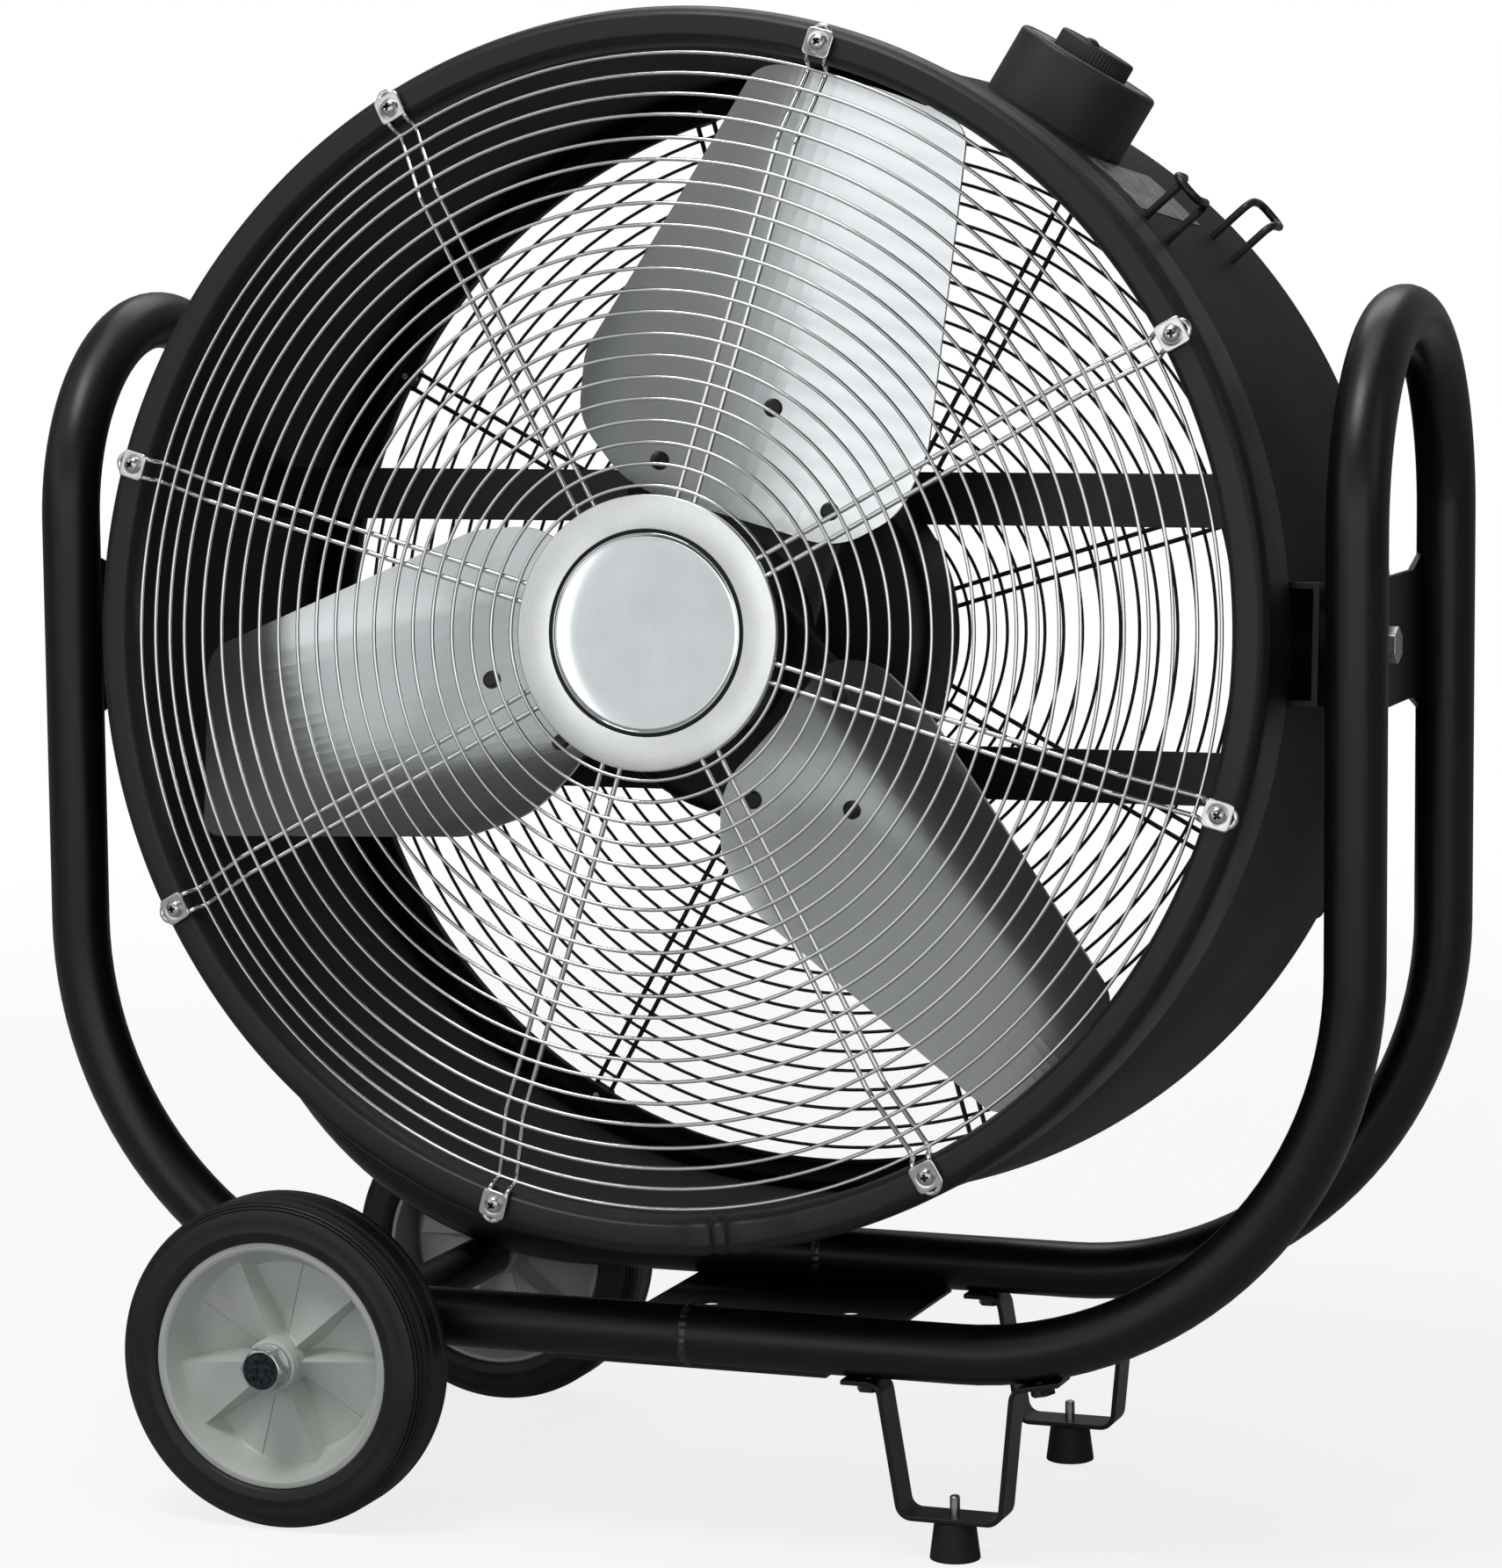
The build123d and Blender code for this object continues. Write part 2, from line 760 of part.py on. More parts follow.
def clip_and_screw(depth, direction):
    # One square clip over a hairpin and its pan-head screw; direction points out of the drum.
    half = clip_size / 2
    outside = depth + direction * clip_thickness
    low, high = sorted((depth, outside))
    radius = clip_circle_radius
    clip = block(radius - half, radius + half, low, high, -half, half)
    clip = fillet(clip.edges().filter_by(Axis.Y), clip_corner)
    clip -= rod(screw_radius + bolt_hole_clearance, low - 1, high + 1, (radius, 0))
    head_top = outside + direction * screw_head_height
    low, high = sorted((outside, head_top))
    head = rod(screw_head_radius, low, high, (radius, 0))
    rim = head.edges().filter_by(GeomType.CIRCLE).sort_by(Axis.Y)[-1 if direction > 0 else 0]
    head = fillet(rim, screw_head_height * 0.7)
    low, high = sorted((outside, outside - direction * screw_length))
    return clip, head + rod(screw_radius, low, high, (radius, 0))


def clips_and_screws():
    depth = wire_plane + spoke_wire_radius
    clips, screws = [], []
    for side, start in ((-1, clip_angle), (1, rear_clip_angle)):
        clip, screw = clip_and_screw(side * depth, side)
        for index in range(spoke_count):
            angle = start + index * 360 / spoke_count
            clips.append(around(clip, angle))
            screws.append(around(screw, angle))
    return clips, screws


def badge():
    # The ring is a shallow cup on the spokes; the disc stands in its middle behind a dark groove.
    seat = -dish_plane - spoke_wire_radius
    front = seat - ring_wire_radius * 2 - badge_thickness
    inside = badge_disc_radius + badge_groove
    cup = ring(badge_radius, inside, front, front + badge_thickness)
    cup += ring(badge_radius, badge_radius - badge_thickness, front, seat)
    stem = badge_stem_radius
    floor = ring(inside + badge_groove, stem, front + badge_thickness, seat)
    disc = rod(badge_disc_radius, front - badge_disc_lift, front + badge_thickness)
    face_edge = disc.edges().filter_by(GeomType.CIRCLE).sort_by(Axis.Y)[0]
    disc = fillet(face_edge, badge_disc_edge)
    disc += rod(stem, front + badge_thickness, -dish_plane + spoke_wire_radius + badge_thickness)
    back_start = -dish_plane + spoke_wire_radius
    back = ring(badge_radius - badge_back_inset, stem, back_start, back_start + badge_thickness)
    return cup + floor, disc, back


def rear_centre_plate():
    seat = wire_plane + spoke_wire_radius
    return rod(rear_plate_radius, seat, seat + rear_plate_thickness)


# ---------------------------------------------------------------- fan


def camber_centre():
    lean = math.radians(blade_pitch)
    across = -blade_camber_radius * math.sin(lean)
    depth = blade_middle - blade_camber_radius * math.cos(lean)
    return across, depth


def camber_shell(inner, outer, reach):
    # A curved sheet along the blade's length, bent about an axis in front of the fan.
    across, depth = camber_centre()
    sheet = ring(outer, inner, -10, reach, (depth, across), "X")
    front_part = block(-11, reach + 1, depth - outer, depth, -outer * 2, outer * 2)
    return sheet - front_part


def cut_to_outline(sheet, outline):
    # The outline is drawn in the XY plane and cuts the sheet along the drum axis.
    depth = 2 * blade_camber_radius
    prism = Pos(0, depth, 0) * Rot(90, 0, 0) * extrude(outline, 2 * depth)
    return max((prism & sheet).solids(), key=lambda piece: piece.volume)


def blade():
    tip, root = blade_tip_half_width, blade_root_half_width
    neck, inner = blade_neck_half_width, blade_inner_half_width
    tip_start = math.sqrt(blade_tip_radius ** 2 - tip ** 2)
    points = [
        (blade_inner_reach, -inner),
        (blade_neck_reach, -neck),
        (blade_root_reach, -root),
        (tip_start, -tip),
        (tip_start, tip),
        (blade_root_reach, root),
        (blade_neck_reach, neck),
        (blade_inner_reach, inner),
    ]
    edges = [Line(first, second) for first, second in zip(points, points[1:] + points[:1])]
    edges[3] = ThreePointArc(points[3], (blade_tip_radius, 0), points[4])
    outline = make_face(edges)
    tips = outline.vertices().sort_by(Axis.X)[-2:]
    outline = fillet(tips, blade_corner_radius)
    others = outline.vertices().sort_by(Axis.X)[:6]
    outline = fillet(others, blade_root_corner_radius)
    sheet = camber_shell(blade_camber_radius, blade_camber_radius + blade_thickness, blade_tip_radius + 5)
    solid = cut_to_outline(sheet, outline)
    for place in blade_bolt_places():
        solid -= place * rod(blade_bolt_radius + bolt_hole_clearance, -5, 5, axis="Z")
    return solid


def blade_bolt_places():
    # Each bolt stands square to the curved sheet. Local Z points from its front face to the back.
    across, depth = camber_centre()
    places = []
    spots = ((blade_bolt_outer, 0), (blade_bolt_inner, blade_bolt_side), (blade_bolt_inner, -blade_bolt_side))
    for reach, side in spots:
        lean = math.asin((side - across) / blade_camber_radius)
        y = depth + blade_camber_radius * math.cos(lean)
        back = Vector(0, math.cos(lean), math.sin(lean))
        places.append(Plane(origin=(reach, y, side), x_dir=(1, 0, 0), z_dir=back).location)
    return places


def blade_bolts():
    length = blade_thickness + arm_thickness + 3
    top = -blade_bolt_head_height - blade_bolt_seat
    head = rod(blade_bolt_head_radius, top, -blade_bolt_seat, axis="Z")
    face_edge = head.edges().filter_by(GeomType.CIRCLE).sort_by(Axis.Z)[0]
    bolt = fillet(face_edge, blade_bolt_head_height * 0.7)
    bolt += rod(blade_bolt_radius, -blade_bolt_seat, length, axis="Z")
    return [place * bolt for place in blade_bolt_places()]


def spider():
    inner = blade_camber_radius + blade_thickness
    sheet = camber_shell(inner, inner + arm_thickness, arm_reach + 5)
    wide, narrow = arm_root_half_width, arm_tip_half_width
    points = [(0, -wide), (blade_bolt_inner + 8, -wide), (arm_reach, -narrow)]
    points += [(reach, -side) for reach, side in reversed(points)]
    arm = cut_to_outline(sheet, make_face(Polyline(*points, close=True)))
    for place in blade_bolt_places():
        arm -= place * rod(blade_bolt_radius + bolt_hole_clearance, -5, arm_thickness + 8, axis="Z")
    solid = rod(spider_hub_radius, spider_hub_front, spider_hub_back)
    for index in range(blade_count):
        solid += around(arm, blade_angle + index * 360 / blade_count)
    # The hub is a cup that is open to the back, around a boss that holds the shaft.
    floor = spider_hub_front + 2 * spider_hub_wall
    solid -= ring(spider_hub_radius - spider_hub_wall, spider_boss_radius, floor, spider_hub_back + 1)
    return solid - rod(shaft_radius, spider_hub_front - 1, spider_hub_back + 1)


def fan_shaft():
    end = motor_back + motor_cap_thickness
    return rod(shaft_radius, shaft_front, end)


# ---------------------------------------------------------------- motor and struts


def motor_housing():
    # A cup that is open to the back, with the front bearing's seat in its face.
    body = rod(motor_radius, motor_front, motor_back)
    front_edge = body.edges().filter_by(GeomType.CIRCLE).sort_by(Axis.Y)[0]
    body = fillet(front_edge, 12)
    body -= rod(motor_radius - motor_wall, motor_front + motor_wall, motor_back + 1)
    seat_outer = bearing_radius + bearing_seat_wall
    body += rod(seat_outer, motor_front, motor_front + bearing_width)
    body -= rod(bearing_radius, motor_front + 2, motor_front + bearing_width + 1)
    return body - rod(shaft_radius + 2, motor_front - 1, motor_front + 3)


def motor_end_cap():
    cap = rod(motor_radius, motor_back, motor_back + motor_cap_thickness)
    seat_outer = bearing_radius + bearing_seat_wall
    cap += rod(seat_outer, motor_back - bearing_width, motor_back)
    cap -= rod(bearing_radius, motor_back - bearing_width - 1, motor_back)
    cap -= rod(shaft_radius + 2, motor_back - 1, motor_back + motor_cap_thickness + 1)
    for x, z in strut_bolt_spots():
        cap -= rod(strut_bolt_radius, motor_back - 1, motor_back + motor_cap_thickness + 1, (x, z))
    return cap


def motor_bearings():
    bore = shaft_radius + running_clearance
    front = motor_front + 2
    return [
        ring(bearing_radius, bore, front, front + bearing_width - 2),
        ring(bearing_radius, bore, motor_back - bearing_width, motor_back),
    ]


def stator():
    start = (motor_front + motor_wall + motor_back - stator_length) / 2
    outer = motor_radius - motor_wall
    return ring(outer, rotor_radius + air_gap, start, start + stator_length)


def rotor():
    start = (motor_front + motor_wall + motor_back - stator_length) / 2
    bearing_room = 3
    first = max(start, motor_front + bearing_width + bearing_room)
    last = min(start + stator_length, motor_back - bearing_width - bearing_room)
    return ring(rotor_radius, shaft_radius, first, last)


def strut_bolt_spots():
    half = strut_bolt_spacing / 2
    return [(x, z) for x in (-half, half) for z in (-strut_offset, strut_offset)]


def strut(z_middle):
    low, high = z_middle - strut_height / 2, z_middle + strut_height / 2
    reach = barrel_radius
    bar = block(-reach, reach, strut_face, strut_face + strut_thickness, low, high)
    bar = bar & rod(barrel_radius - barrel_wall, strut_face - 1, strut_face + strut_thickness + 1)
    for x, z in strut_bolt_spots():
        bar -= rod(strut_bolt_radius + bolt_hole_clearance, strut_face - 1, strut_face + 20, (x, z))
    return bar


def strut_bolts():
    back = strut_face + strut_thickness
    solids = []
    for spot in strut_bolt_spots():
        shank = rod(strut_bolt_radius, motor_back, back, spot)
        head = hexagon_bar(strut_bolt_head, back, back + strut_bolt_head_height, spot)
        solids.append(shank + head)
    return solids


def capacitor():
    # The run capacitor lies along the back of the lower strut, in a clip of its own.
    back = strut_face + strut_thickness
    half = capacitor_length / 2
    centre_y = back + capacitor_radius
    can = rod(capacitor_radius, -half, half, (centre_y, -strut_offset), "X")
    return can


# ---------------------------------------------------------------- pivots


def pivot_channel(side):
    face, wall = channel_face, channel_wall
    length, height = channel_half_length, channel_half_height
    inside = barrel_radius - channel_root
    solid = block(inside, face, -length, length, -height, height)
    solid -= block(inside - 1, face - wall, -length - 1, length + 1, wall - height, height - wall)
    solid -= rod(barrel_radius, -length - 1, length + 1)
    solid = max(solid.solids(), key=lambda piece: piece.volume)
    solid -= rod(pivot_radius + bolt_hole_clearance, face - wall - 1, face + 1, (0, 0), "X")
    return solid if side > 0 else Rot(0, 180, 0) * solid


def pivot_bolt(side):
    head_start = side_plate_inside + side_plate_thickness + side_clearance + pivot_washer_thickness
    shank = rod(pivot_radius, channel_face - channel_wall - pivot_nut_height - 1, head_start, (0, 0), "X")
    head = hexagon_bar(pivot_head_width, head_start, head_start + pivot_head_height, (0, 0), "X")
    bolt = shank + head
    return bolt if side > 0 else Rot(0, 180, 0) * bolt


def pivot_nut(side):
    start = channel_face - channel_wall - pivot_nut_height
    nut = hexagon_bar(pivot_head_width, start, start + pivot_nut_height, (0, 0), "X")
    nut -= rod(pivot_radius, start - 1, start + pivot_nut_height + 1, (0, 0), "X")
    return nut if side > 0 else Rot(0, 180, 0) * nut


def pivot_spacer(side):
    end = side_plate_inside - side_clearance
    return mirrored_rings(side, pivot_spacer_radius, channel_face, end)


def pivot_washer(side):
    start = side_plate_inside + side_plate_thickness + side_clearance
    return mirrored_rings(side, pivot_washer_radius, start, start + pivot_washer_thickness)


def mirrored_rings(side, radius, start, end):
    low, high = sorted((side * start, side * end))
    return ring(radius, pivot_radius, low, high, (0, 0), "X")


# ---------------------------------------------------------------- control housing, hooks, plate


def control_parts():
    # Made on the X axis and turned up to the control angle.
    wall = control_wall
    root = barrel_radius - control_root
    body = rod(control_radius, root, control_top, (0, 0), "X")
    top_edges = body.edges().filter_by(GeomType.CIRCLE).sort_by(Axis.X)[-1]
    body = fillet(top_edges, control_edge)
    top_inside = control_top - face_recess - face_thickness
    body -= rod(control_radius - wall, root - 1, top_inside - wall, (0, 0), "X")
    body -= rod(control_radius - control_rim, top_inside, control_top + 1, (0, 0), "X")
    body -= rod(barrel_radius, -control_radius - 1, control_radius + 1)
    hole = spindle_radius + 2
    body -= rod(hole, top_inside - wall - 1, top_inside + 1, (0, 0), "X")
    gland_centre = ((barrel_radius + control_top) / 2, 0)
    body -= rod(gland_radius - 2, 0, control_radius + 5, gland_centre)
    face = ring(control_radius - control_rim, hole, top_inside, top_inside + face_thickness, (0, 0), "X")
    half = switch_width / 2
    switch_top = top_inside - wall
    bottom = switch_top - switch_height
    switch = block(bottom, switch_top, -half, half, -half, half)
    switch -= rod(spindle_radius + running_clearance, bottom + 2, switch_top + 1, (0, 0), "X")
    gland_start = control_radius
    gland_end = gland_start + gland_length
    gland = ring(gland_radius, gland_bore_radius, gland_start, gland_end, gland_centre)
    neck = ring(gland_radius - 2, gland_bore_radius, control_radius - wall - 3, gland_start, gland_centre)
    return body, face, switch, gland + neck


def knob_parts():
    base = control_top - face_recess + side_clearance
    knob = rod(knob_radius, base, base + knob_height, (0, 0), "X")
    for index in range(knob_rib_count):
        angle = math.radians(index * 360 / knob_rib_count)
        centre = (knob_radius * math.cos(angle), knob_radius * math.sin(angle))
        knob -= rod(knob_rib_depth, base - 1, base + knob_height + 1, centre, "X")
    pointer = rod(5, base + knob_height, base + knob_height + 3, (-knob_radius + 8, 0), "X")
    knob += pointer
    spindle_top = base + knob_height - knob_wall
    knob -= rod(spindle_radius, base - 1, spindle_top, (0, 0), "X")
    top_inside = control_top - face_recess - face_thickness
    spindle_bottom = top_inside - control_wall - switch_height + 2 + side_clearance
    spindle = rod(spindle_radius, spindle_bottom, spindle_top, (0, 0), "X")
    return knob, spindle


def cord_hook(y_place, lip_direction):
    # A wire bent up from the barrel on two legs and turned over into a lip.
    top = barrel_radius + hook_reach - hook_wire_radius
    foot = barrel_radius - 3
    lip_end = y_place + lip_direction * hook_lip
    gap = hook_half_gap
    points = [
        (foot, y_place, -gap),
        (top, y_place, -gap),
        (top, lip_end, -gap),
        (top, lip_end, gap),
        (top, y_place, gap),
        (foot, y_place, gap),
    ]
    path = FilletPolyline(*points, radius=hook_bend_radius)
    wire = swept(path, hook_wire_radius)
    wire -= rod(barrel_radius, y_place - 10, y_place + 10)
    wire = max(wire.solids(), key=lambda piece: piece.volume)
    return around(wire, hook_angle)


def rating_plate():
    outer = barrel_radius + plate_thickness
    end = plate_half_length
    spread = math.degrees(plate_width / 2 / barrel_radius)
    return sector(outer, barrel_radius, -end, end, plate_angle - spread, plate_angle + spread)


# ---------------------------------------------------------------- writing the pieces


def save_frame():
    save("frame_half_left", frame_half(-1))
    save("frame_half_right", frame_half(1))
    save("joint_sleeves", *joint_sleeves())
    save("side_plates", side_plate(-1), side_plate(1))
    save("base_plate", base_plate())
    tube, plugs, axle, spacers, nuts = axle_parts()
    save("axle_tube", tube)
    save("axle_plugs", *plugs)
    save("axle_rod", axle)
    save("axle_spacers", *spacers)
    save("axle_nuts", *nuts)
    save("foot_brackets", foot_bracket(-half_depth), foot_bracket(half_depth))
    save("bracket_bolts", *bracket_bolts())
    save("rubber_feet", rubber_foot(-half_depth), rubber_foot(half_depth))
    save("foot_studs", foot_stud(-half_depth), foot_stud(half_depth))


def save_drum():
    save_on_drum("drum_shell", drum_shell())
    save_on_drum("rim_sheath", rim_sheath())
    front_rings = [wire_ring(radius, depth, ring_wire_radius) for radius, depth in ring_places()]
    save_on_drum("front_grille_rings", *front_rings)
    save_on_drum("front_grille_spokes", *front_spokes())
    save_on_drum("rear_grille_rings", *rear_rings())
    save_on_drum("rear_grille_spokes", *rear_spokes())
    save_on_drum("rear_centre_plate", rear_centre_plate())
    clips, screws = clips_and_screws()
    save_on_drum("grille_clips", *clips)
    save_on_drum("clip_screws", *screws)
    cup, disc, back = badge()
    save_on_drum("badge_ring", cup)
    save_on_drum("badge_disc", disc)
    save_on_drum("badge_back_plate", back)
    save_on_drum("struts", strut(-strut_offset), strut(strut_offset))
    save_on_drum("strut_bolts", *strut_bolts())
    save_on_drum("motor_housing", motor_housing())
    save_on_drum("motor_end_cap", motor_end_cap())
    save_on_drum("motor_bearings", *motor_bearings())
    save_on_drum("motor_stator", stator())
    save_on_drum("capacitor", capacitor())
    save_on_drum("pivot_channels", pivot_channel(-1), pivot_channel(1))
    save_on_drum("pivot_bolts", pivot_bolt(-1), pivot_bolt(1))
    save_on_drum("pivot_nuts", pivot_nut(-1), pivot_nut(1))
    save_on_drum("pivot_spacers", pivot_spacer(-1), pivot_spacer(1))
    save_on_drum("pivot_washers", pivot_washer(-1), pivot_washer(1))
    save_on_drum("cord_hooks", cord_hook(hook_front_y, -1), cord_hook(hook_rear_y, 1))
    save_on_drum("rating_plate", rating_plate())
    body, face, switch, gland = [around(solid, control_angle) for solid in control_parts()]
    save_on_drum("control_housing", body)
    save_on_drum("control_face", face)
    save_on_drum("rotary_switch", switch)
    save_on_drum("cable_gland", gland)
    knob, spindle = [around(solid, control_angle) for solid in knob_parts()]
    save_on_drum("speed_knob", knob)
    save_on_drum("knob_spindle", spindle)


def save_fan():
    save_on_drum("fan_spider", spider())
    one_blade = blade()
    bolts = blade_bolts()
    all_bolts = []
    for index in range(blade_count):
        angle = blade_angle + index * 360 / blade_count
        save_on_drum(f"blade_{index + 1}", around(one_blade, angle))
        all_bolts += [around(bolt, angle) for bolt in bolts]
    save_on_drum("blade_bolts", *all_bolts)
    save_on_drum("fan_shaft", fan_shaft())
    save_on_drum("motor_rotor", rotor())
    nut_end = spider_hub_front - shaft_nut_height
    nut = hexagon_bar(shaft_nut_width, nut_end, spider_hub_front)
    save_on_drum("shaft_nut", nut - rod(shaft_radius, nut_end - 1, spider_hub_front + 1))


save_frame()
save_wheels()
save_drum()
save_fan()
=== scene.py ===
import json
import math

import bmesh
import bpy
import numpy as np
from mathutils import Matrix, Vector


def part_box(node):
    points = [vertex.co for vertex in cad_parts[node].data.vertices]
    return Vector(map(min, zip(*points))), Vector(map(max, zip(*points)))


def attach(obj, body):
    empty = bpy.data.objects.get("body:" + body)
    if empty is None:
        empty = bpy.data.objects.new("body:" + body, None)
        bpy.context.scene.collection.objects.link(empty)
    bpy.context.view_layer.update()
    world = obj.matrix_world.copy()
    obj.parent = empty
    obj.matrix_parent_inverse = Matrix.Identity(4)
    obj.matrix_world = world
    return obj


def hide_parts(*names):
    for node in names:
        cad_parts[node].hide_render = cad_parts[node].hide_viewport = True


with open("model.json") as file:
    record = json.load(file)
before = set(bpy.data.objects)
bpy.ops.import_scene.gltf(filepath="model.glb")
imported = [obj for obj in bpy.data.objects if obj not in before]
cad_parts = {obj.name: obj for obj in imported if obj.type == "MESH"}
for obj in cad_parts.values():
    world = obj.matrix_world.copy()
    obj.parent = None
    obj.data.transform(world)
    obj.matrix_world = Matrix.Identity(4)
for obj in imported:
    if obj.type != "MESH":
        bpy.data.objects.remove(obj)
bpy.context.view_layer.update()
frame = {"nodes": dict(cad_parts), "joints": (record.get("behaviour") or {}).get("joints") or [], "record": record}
nodes = frame["nodes"]
record = frame["record"]
bodyOf = {node: body for body, names in record["behaviour"]["bodies"].items() for node in names}
scene = bpy.context.scene
mm = 0.001


# Drum pieces are drawn about the origin with the fan axis along Y, then tipped and lifted into place.
jointOf = {joint["name"]: joint for joint in frame["joints"]}
fanAxis = Vector(jointOf["fan_spin"]["axis"]).normalized()
drumTurn = Vector((0, 1, 0)).rotation_difference(fanAxis).to_matrix().to_4x4()
drumPlace = Matrix.Translation(Vector(jointOf["drum_tilt"]["pos_m"])) @ drumTurn


def linear(code):
    # sRGB hex to the linear colour a shader socket wants.
    parts = [int(code[i:i + 2], 16) / 255 for i in (0, 2, 4)]
    return tuple(c / 12.92 if c <= 0.04045 else ((c + 0.055) / 1.055) ** 2.4 for c in parts) + (1.0,)


def addNode(tree, kind, settings=None, links=None):
    # One node with its properties, socket values and incoming links.
    node = tree.nodes.new(kind)
    for name, value in (settings or {}).items():
        if isinstance(name, str) and hasattr(node, name):
            setattr(node, name, value)
        else:
            node.inputs[name].default_value = value
    for name, source in (links or {}).items():
        tree.links.new(source, node.inputs[name])
    return node


def addFlow(tree, kind, settings=None, links=None):
    # The same for a node of which only the first output is used.
    return addNode(tree, kind, settings, links).outputs[0]


def addMath(tree, operation, *values):
    # One math node. Each value is a number or the output of another node.
    numbers = {index: value for index, value in enumerate(values) if isinstance(value, (int, float))}
    links = {index: value for index, value in enumerate(values) if index not in numbers}
    return addFlow(tree, "ShaderNodeMath", {"operation": operation, **numbers}, links)


def addNoise(tree, size, detail, source, settings=None, socket="Vector"):
    # Noise whose marks are about the given size in millimetres.
    return addNode(tree, "ShaderNodeTexNoise", {**(settings or {}), "Scale": 1 / (size * mm), "Detail": detail},
                   {socket: source}).outputs["Fac"]


def newMaterial(name):
    # A material with an empty tree, and the Object coordinates in it.
    material = bpy.data.materials.new(name)
    material.use_nodes = True
    tree = material.node_tree
    tree.nodes.clear()
    return material, tree, addNode(tree, "ShaderNodeTexCoord").outputs["Object"]


def finishMaterial(tree, shader):
    addNode(tree, "ShaderNodeOutputMaterial", links={"Surface": shader})


def finishSurface(tree, settings, colour, gloss, relief):
    # Colour and gloss each have a noise, the span of it that counts, and two ends: tones or roughnesses.
    # Relief has a noise and its height in millimetres.
    (broad, toneSpan, tones), (marks, glossSpan, rough), (grain, height) = colour, gloss, relief
    ramp = addNode(tree, "ShaderNodeValToRGB", links={"Fac": broad})
    for element, position, code in zip(ramp.color_ramp.elements, toneSpan, tones):
        element.position, element.color = position, linear(code)
    uneven = addFlow(tree, "ShaderNodeMapRange", {"From Min": glossSpan[0], "From Max": glossSpan[1],
                     "To Min": rough[0], "To Max": rough[1]}, {"Value": marks})
    bump = addFlow(tree, "ShaderNodeBump", {"Strength": 1.0, "Distance": height * mm}, {"Height": grain})
    finishMaterial(tree, addFlow(tree, "ShaderNodeBsdfPrincipled", settings, {
        "Base Color": ramp.outputs["Color"], "Roughness": uneven, "Normal": bump}))


def makeCoat(name, low, high, drift, rough, grain, height, specular):
    # Paint, rubber and moulded plastic: colour drift, uneven gloss and a fine surface grain, sizes in millimetres.
    material, tree, coords = newMaterial(name)
    broad, fine = addNoise(tree, drift, 3.0, coords), addNoise(tree, grain, 2.0, coords)
    finishSurface(tree, {"Specular IOR Level": specular}, (broad, (0.35, 0.65), (low, high)),
                  (broad, (0.3, 0.7), rough), (fine, height))
    return material


def makeMetal(name, low, high, drift, rough, grain, height, stretch=(1, 1, 1), bare=1.0):
    # Bare or plated metal: faint broad tone changes and fine marks, drawn out along one axis where it was rolled.
    # Bare is the share that shows as naked metal. The rest is a thin oxide that scatters like paint.
    material, tree, coords = newMaterial(name)
    along = addFlow(tree, "ShaderNodeMapping", {"Scale": stretch}, {"Vector": coords})
    broad, fine = addNoise(tree, drift, 2.0, coords), addNoise(tree, grain, 2.0, along)
    finishSurface(tree, {"Metallic": bare}, (broad, (0.3, 0.7), (low, high)), (broad, (0.3, 0.7), rough),
                  (fine, height))
    return material


def makeTurnedSteel(name, low, high, rough, line, depth, smudge=26):
    # Steel brushed round the fan axis: the lines follow the distance from that axis, a little broken up.
    material, tree, coords = newMaterial(name)
    toDrum = drumPlace.inverted()
    local = addFlow(tree, "ShaderNodeMapping", {"Location": tuple(toDrum.translation),
                    "Rotation": tuple(toDrum.to_euler())}, {"Vector": coords})
    flat = addFlow(tree, "ShaderNodeVectorMath", {"operation": "MULTIPLY", 1: (1, 0, 1)}, {0: local})
    reach = addNode(tree, "ShaderNodeVectorMath", {"operation": "LENGTH"}, {0: flat}).outputs["Value"]
    broad = addNoise(tree, smudge, 2.0, coords)
    lines = addNoise(tree, line, 3.0, reach, {"noise_dimensions": "1D"}, "W")
    finishSurface(tree, {"Metallic": 1.0}, (broad, (0.3, 0.7), (low, high)), (lines, (0.25, 0.75), rough),
                  (lines, depth))
    return material


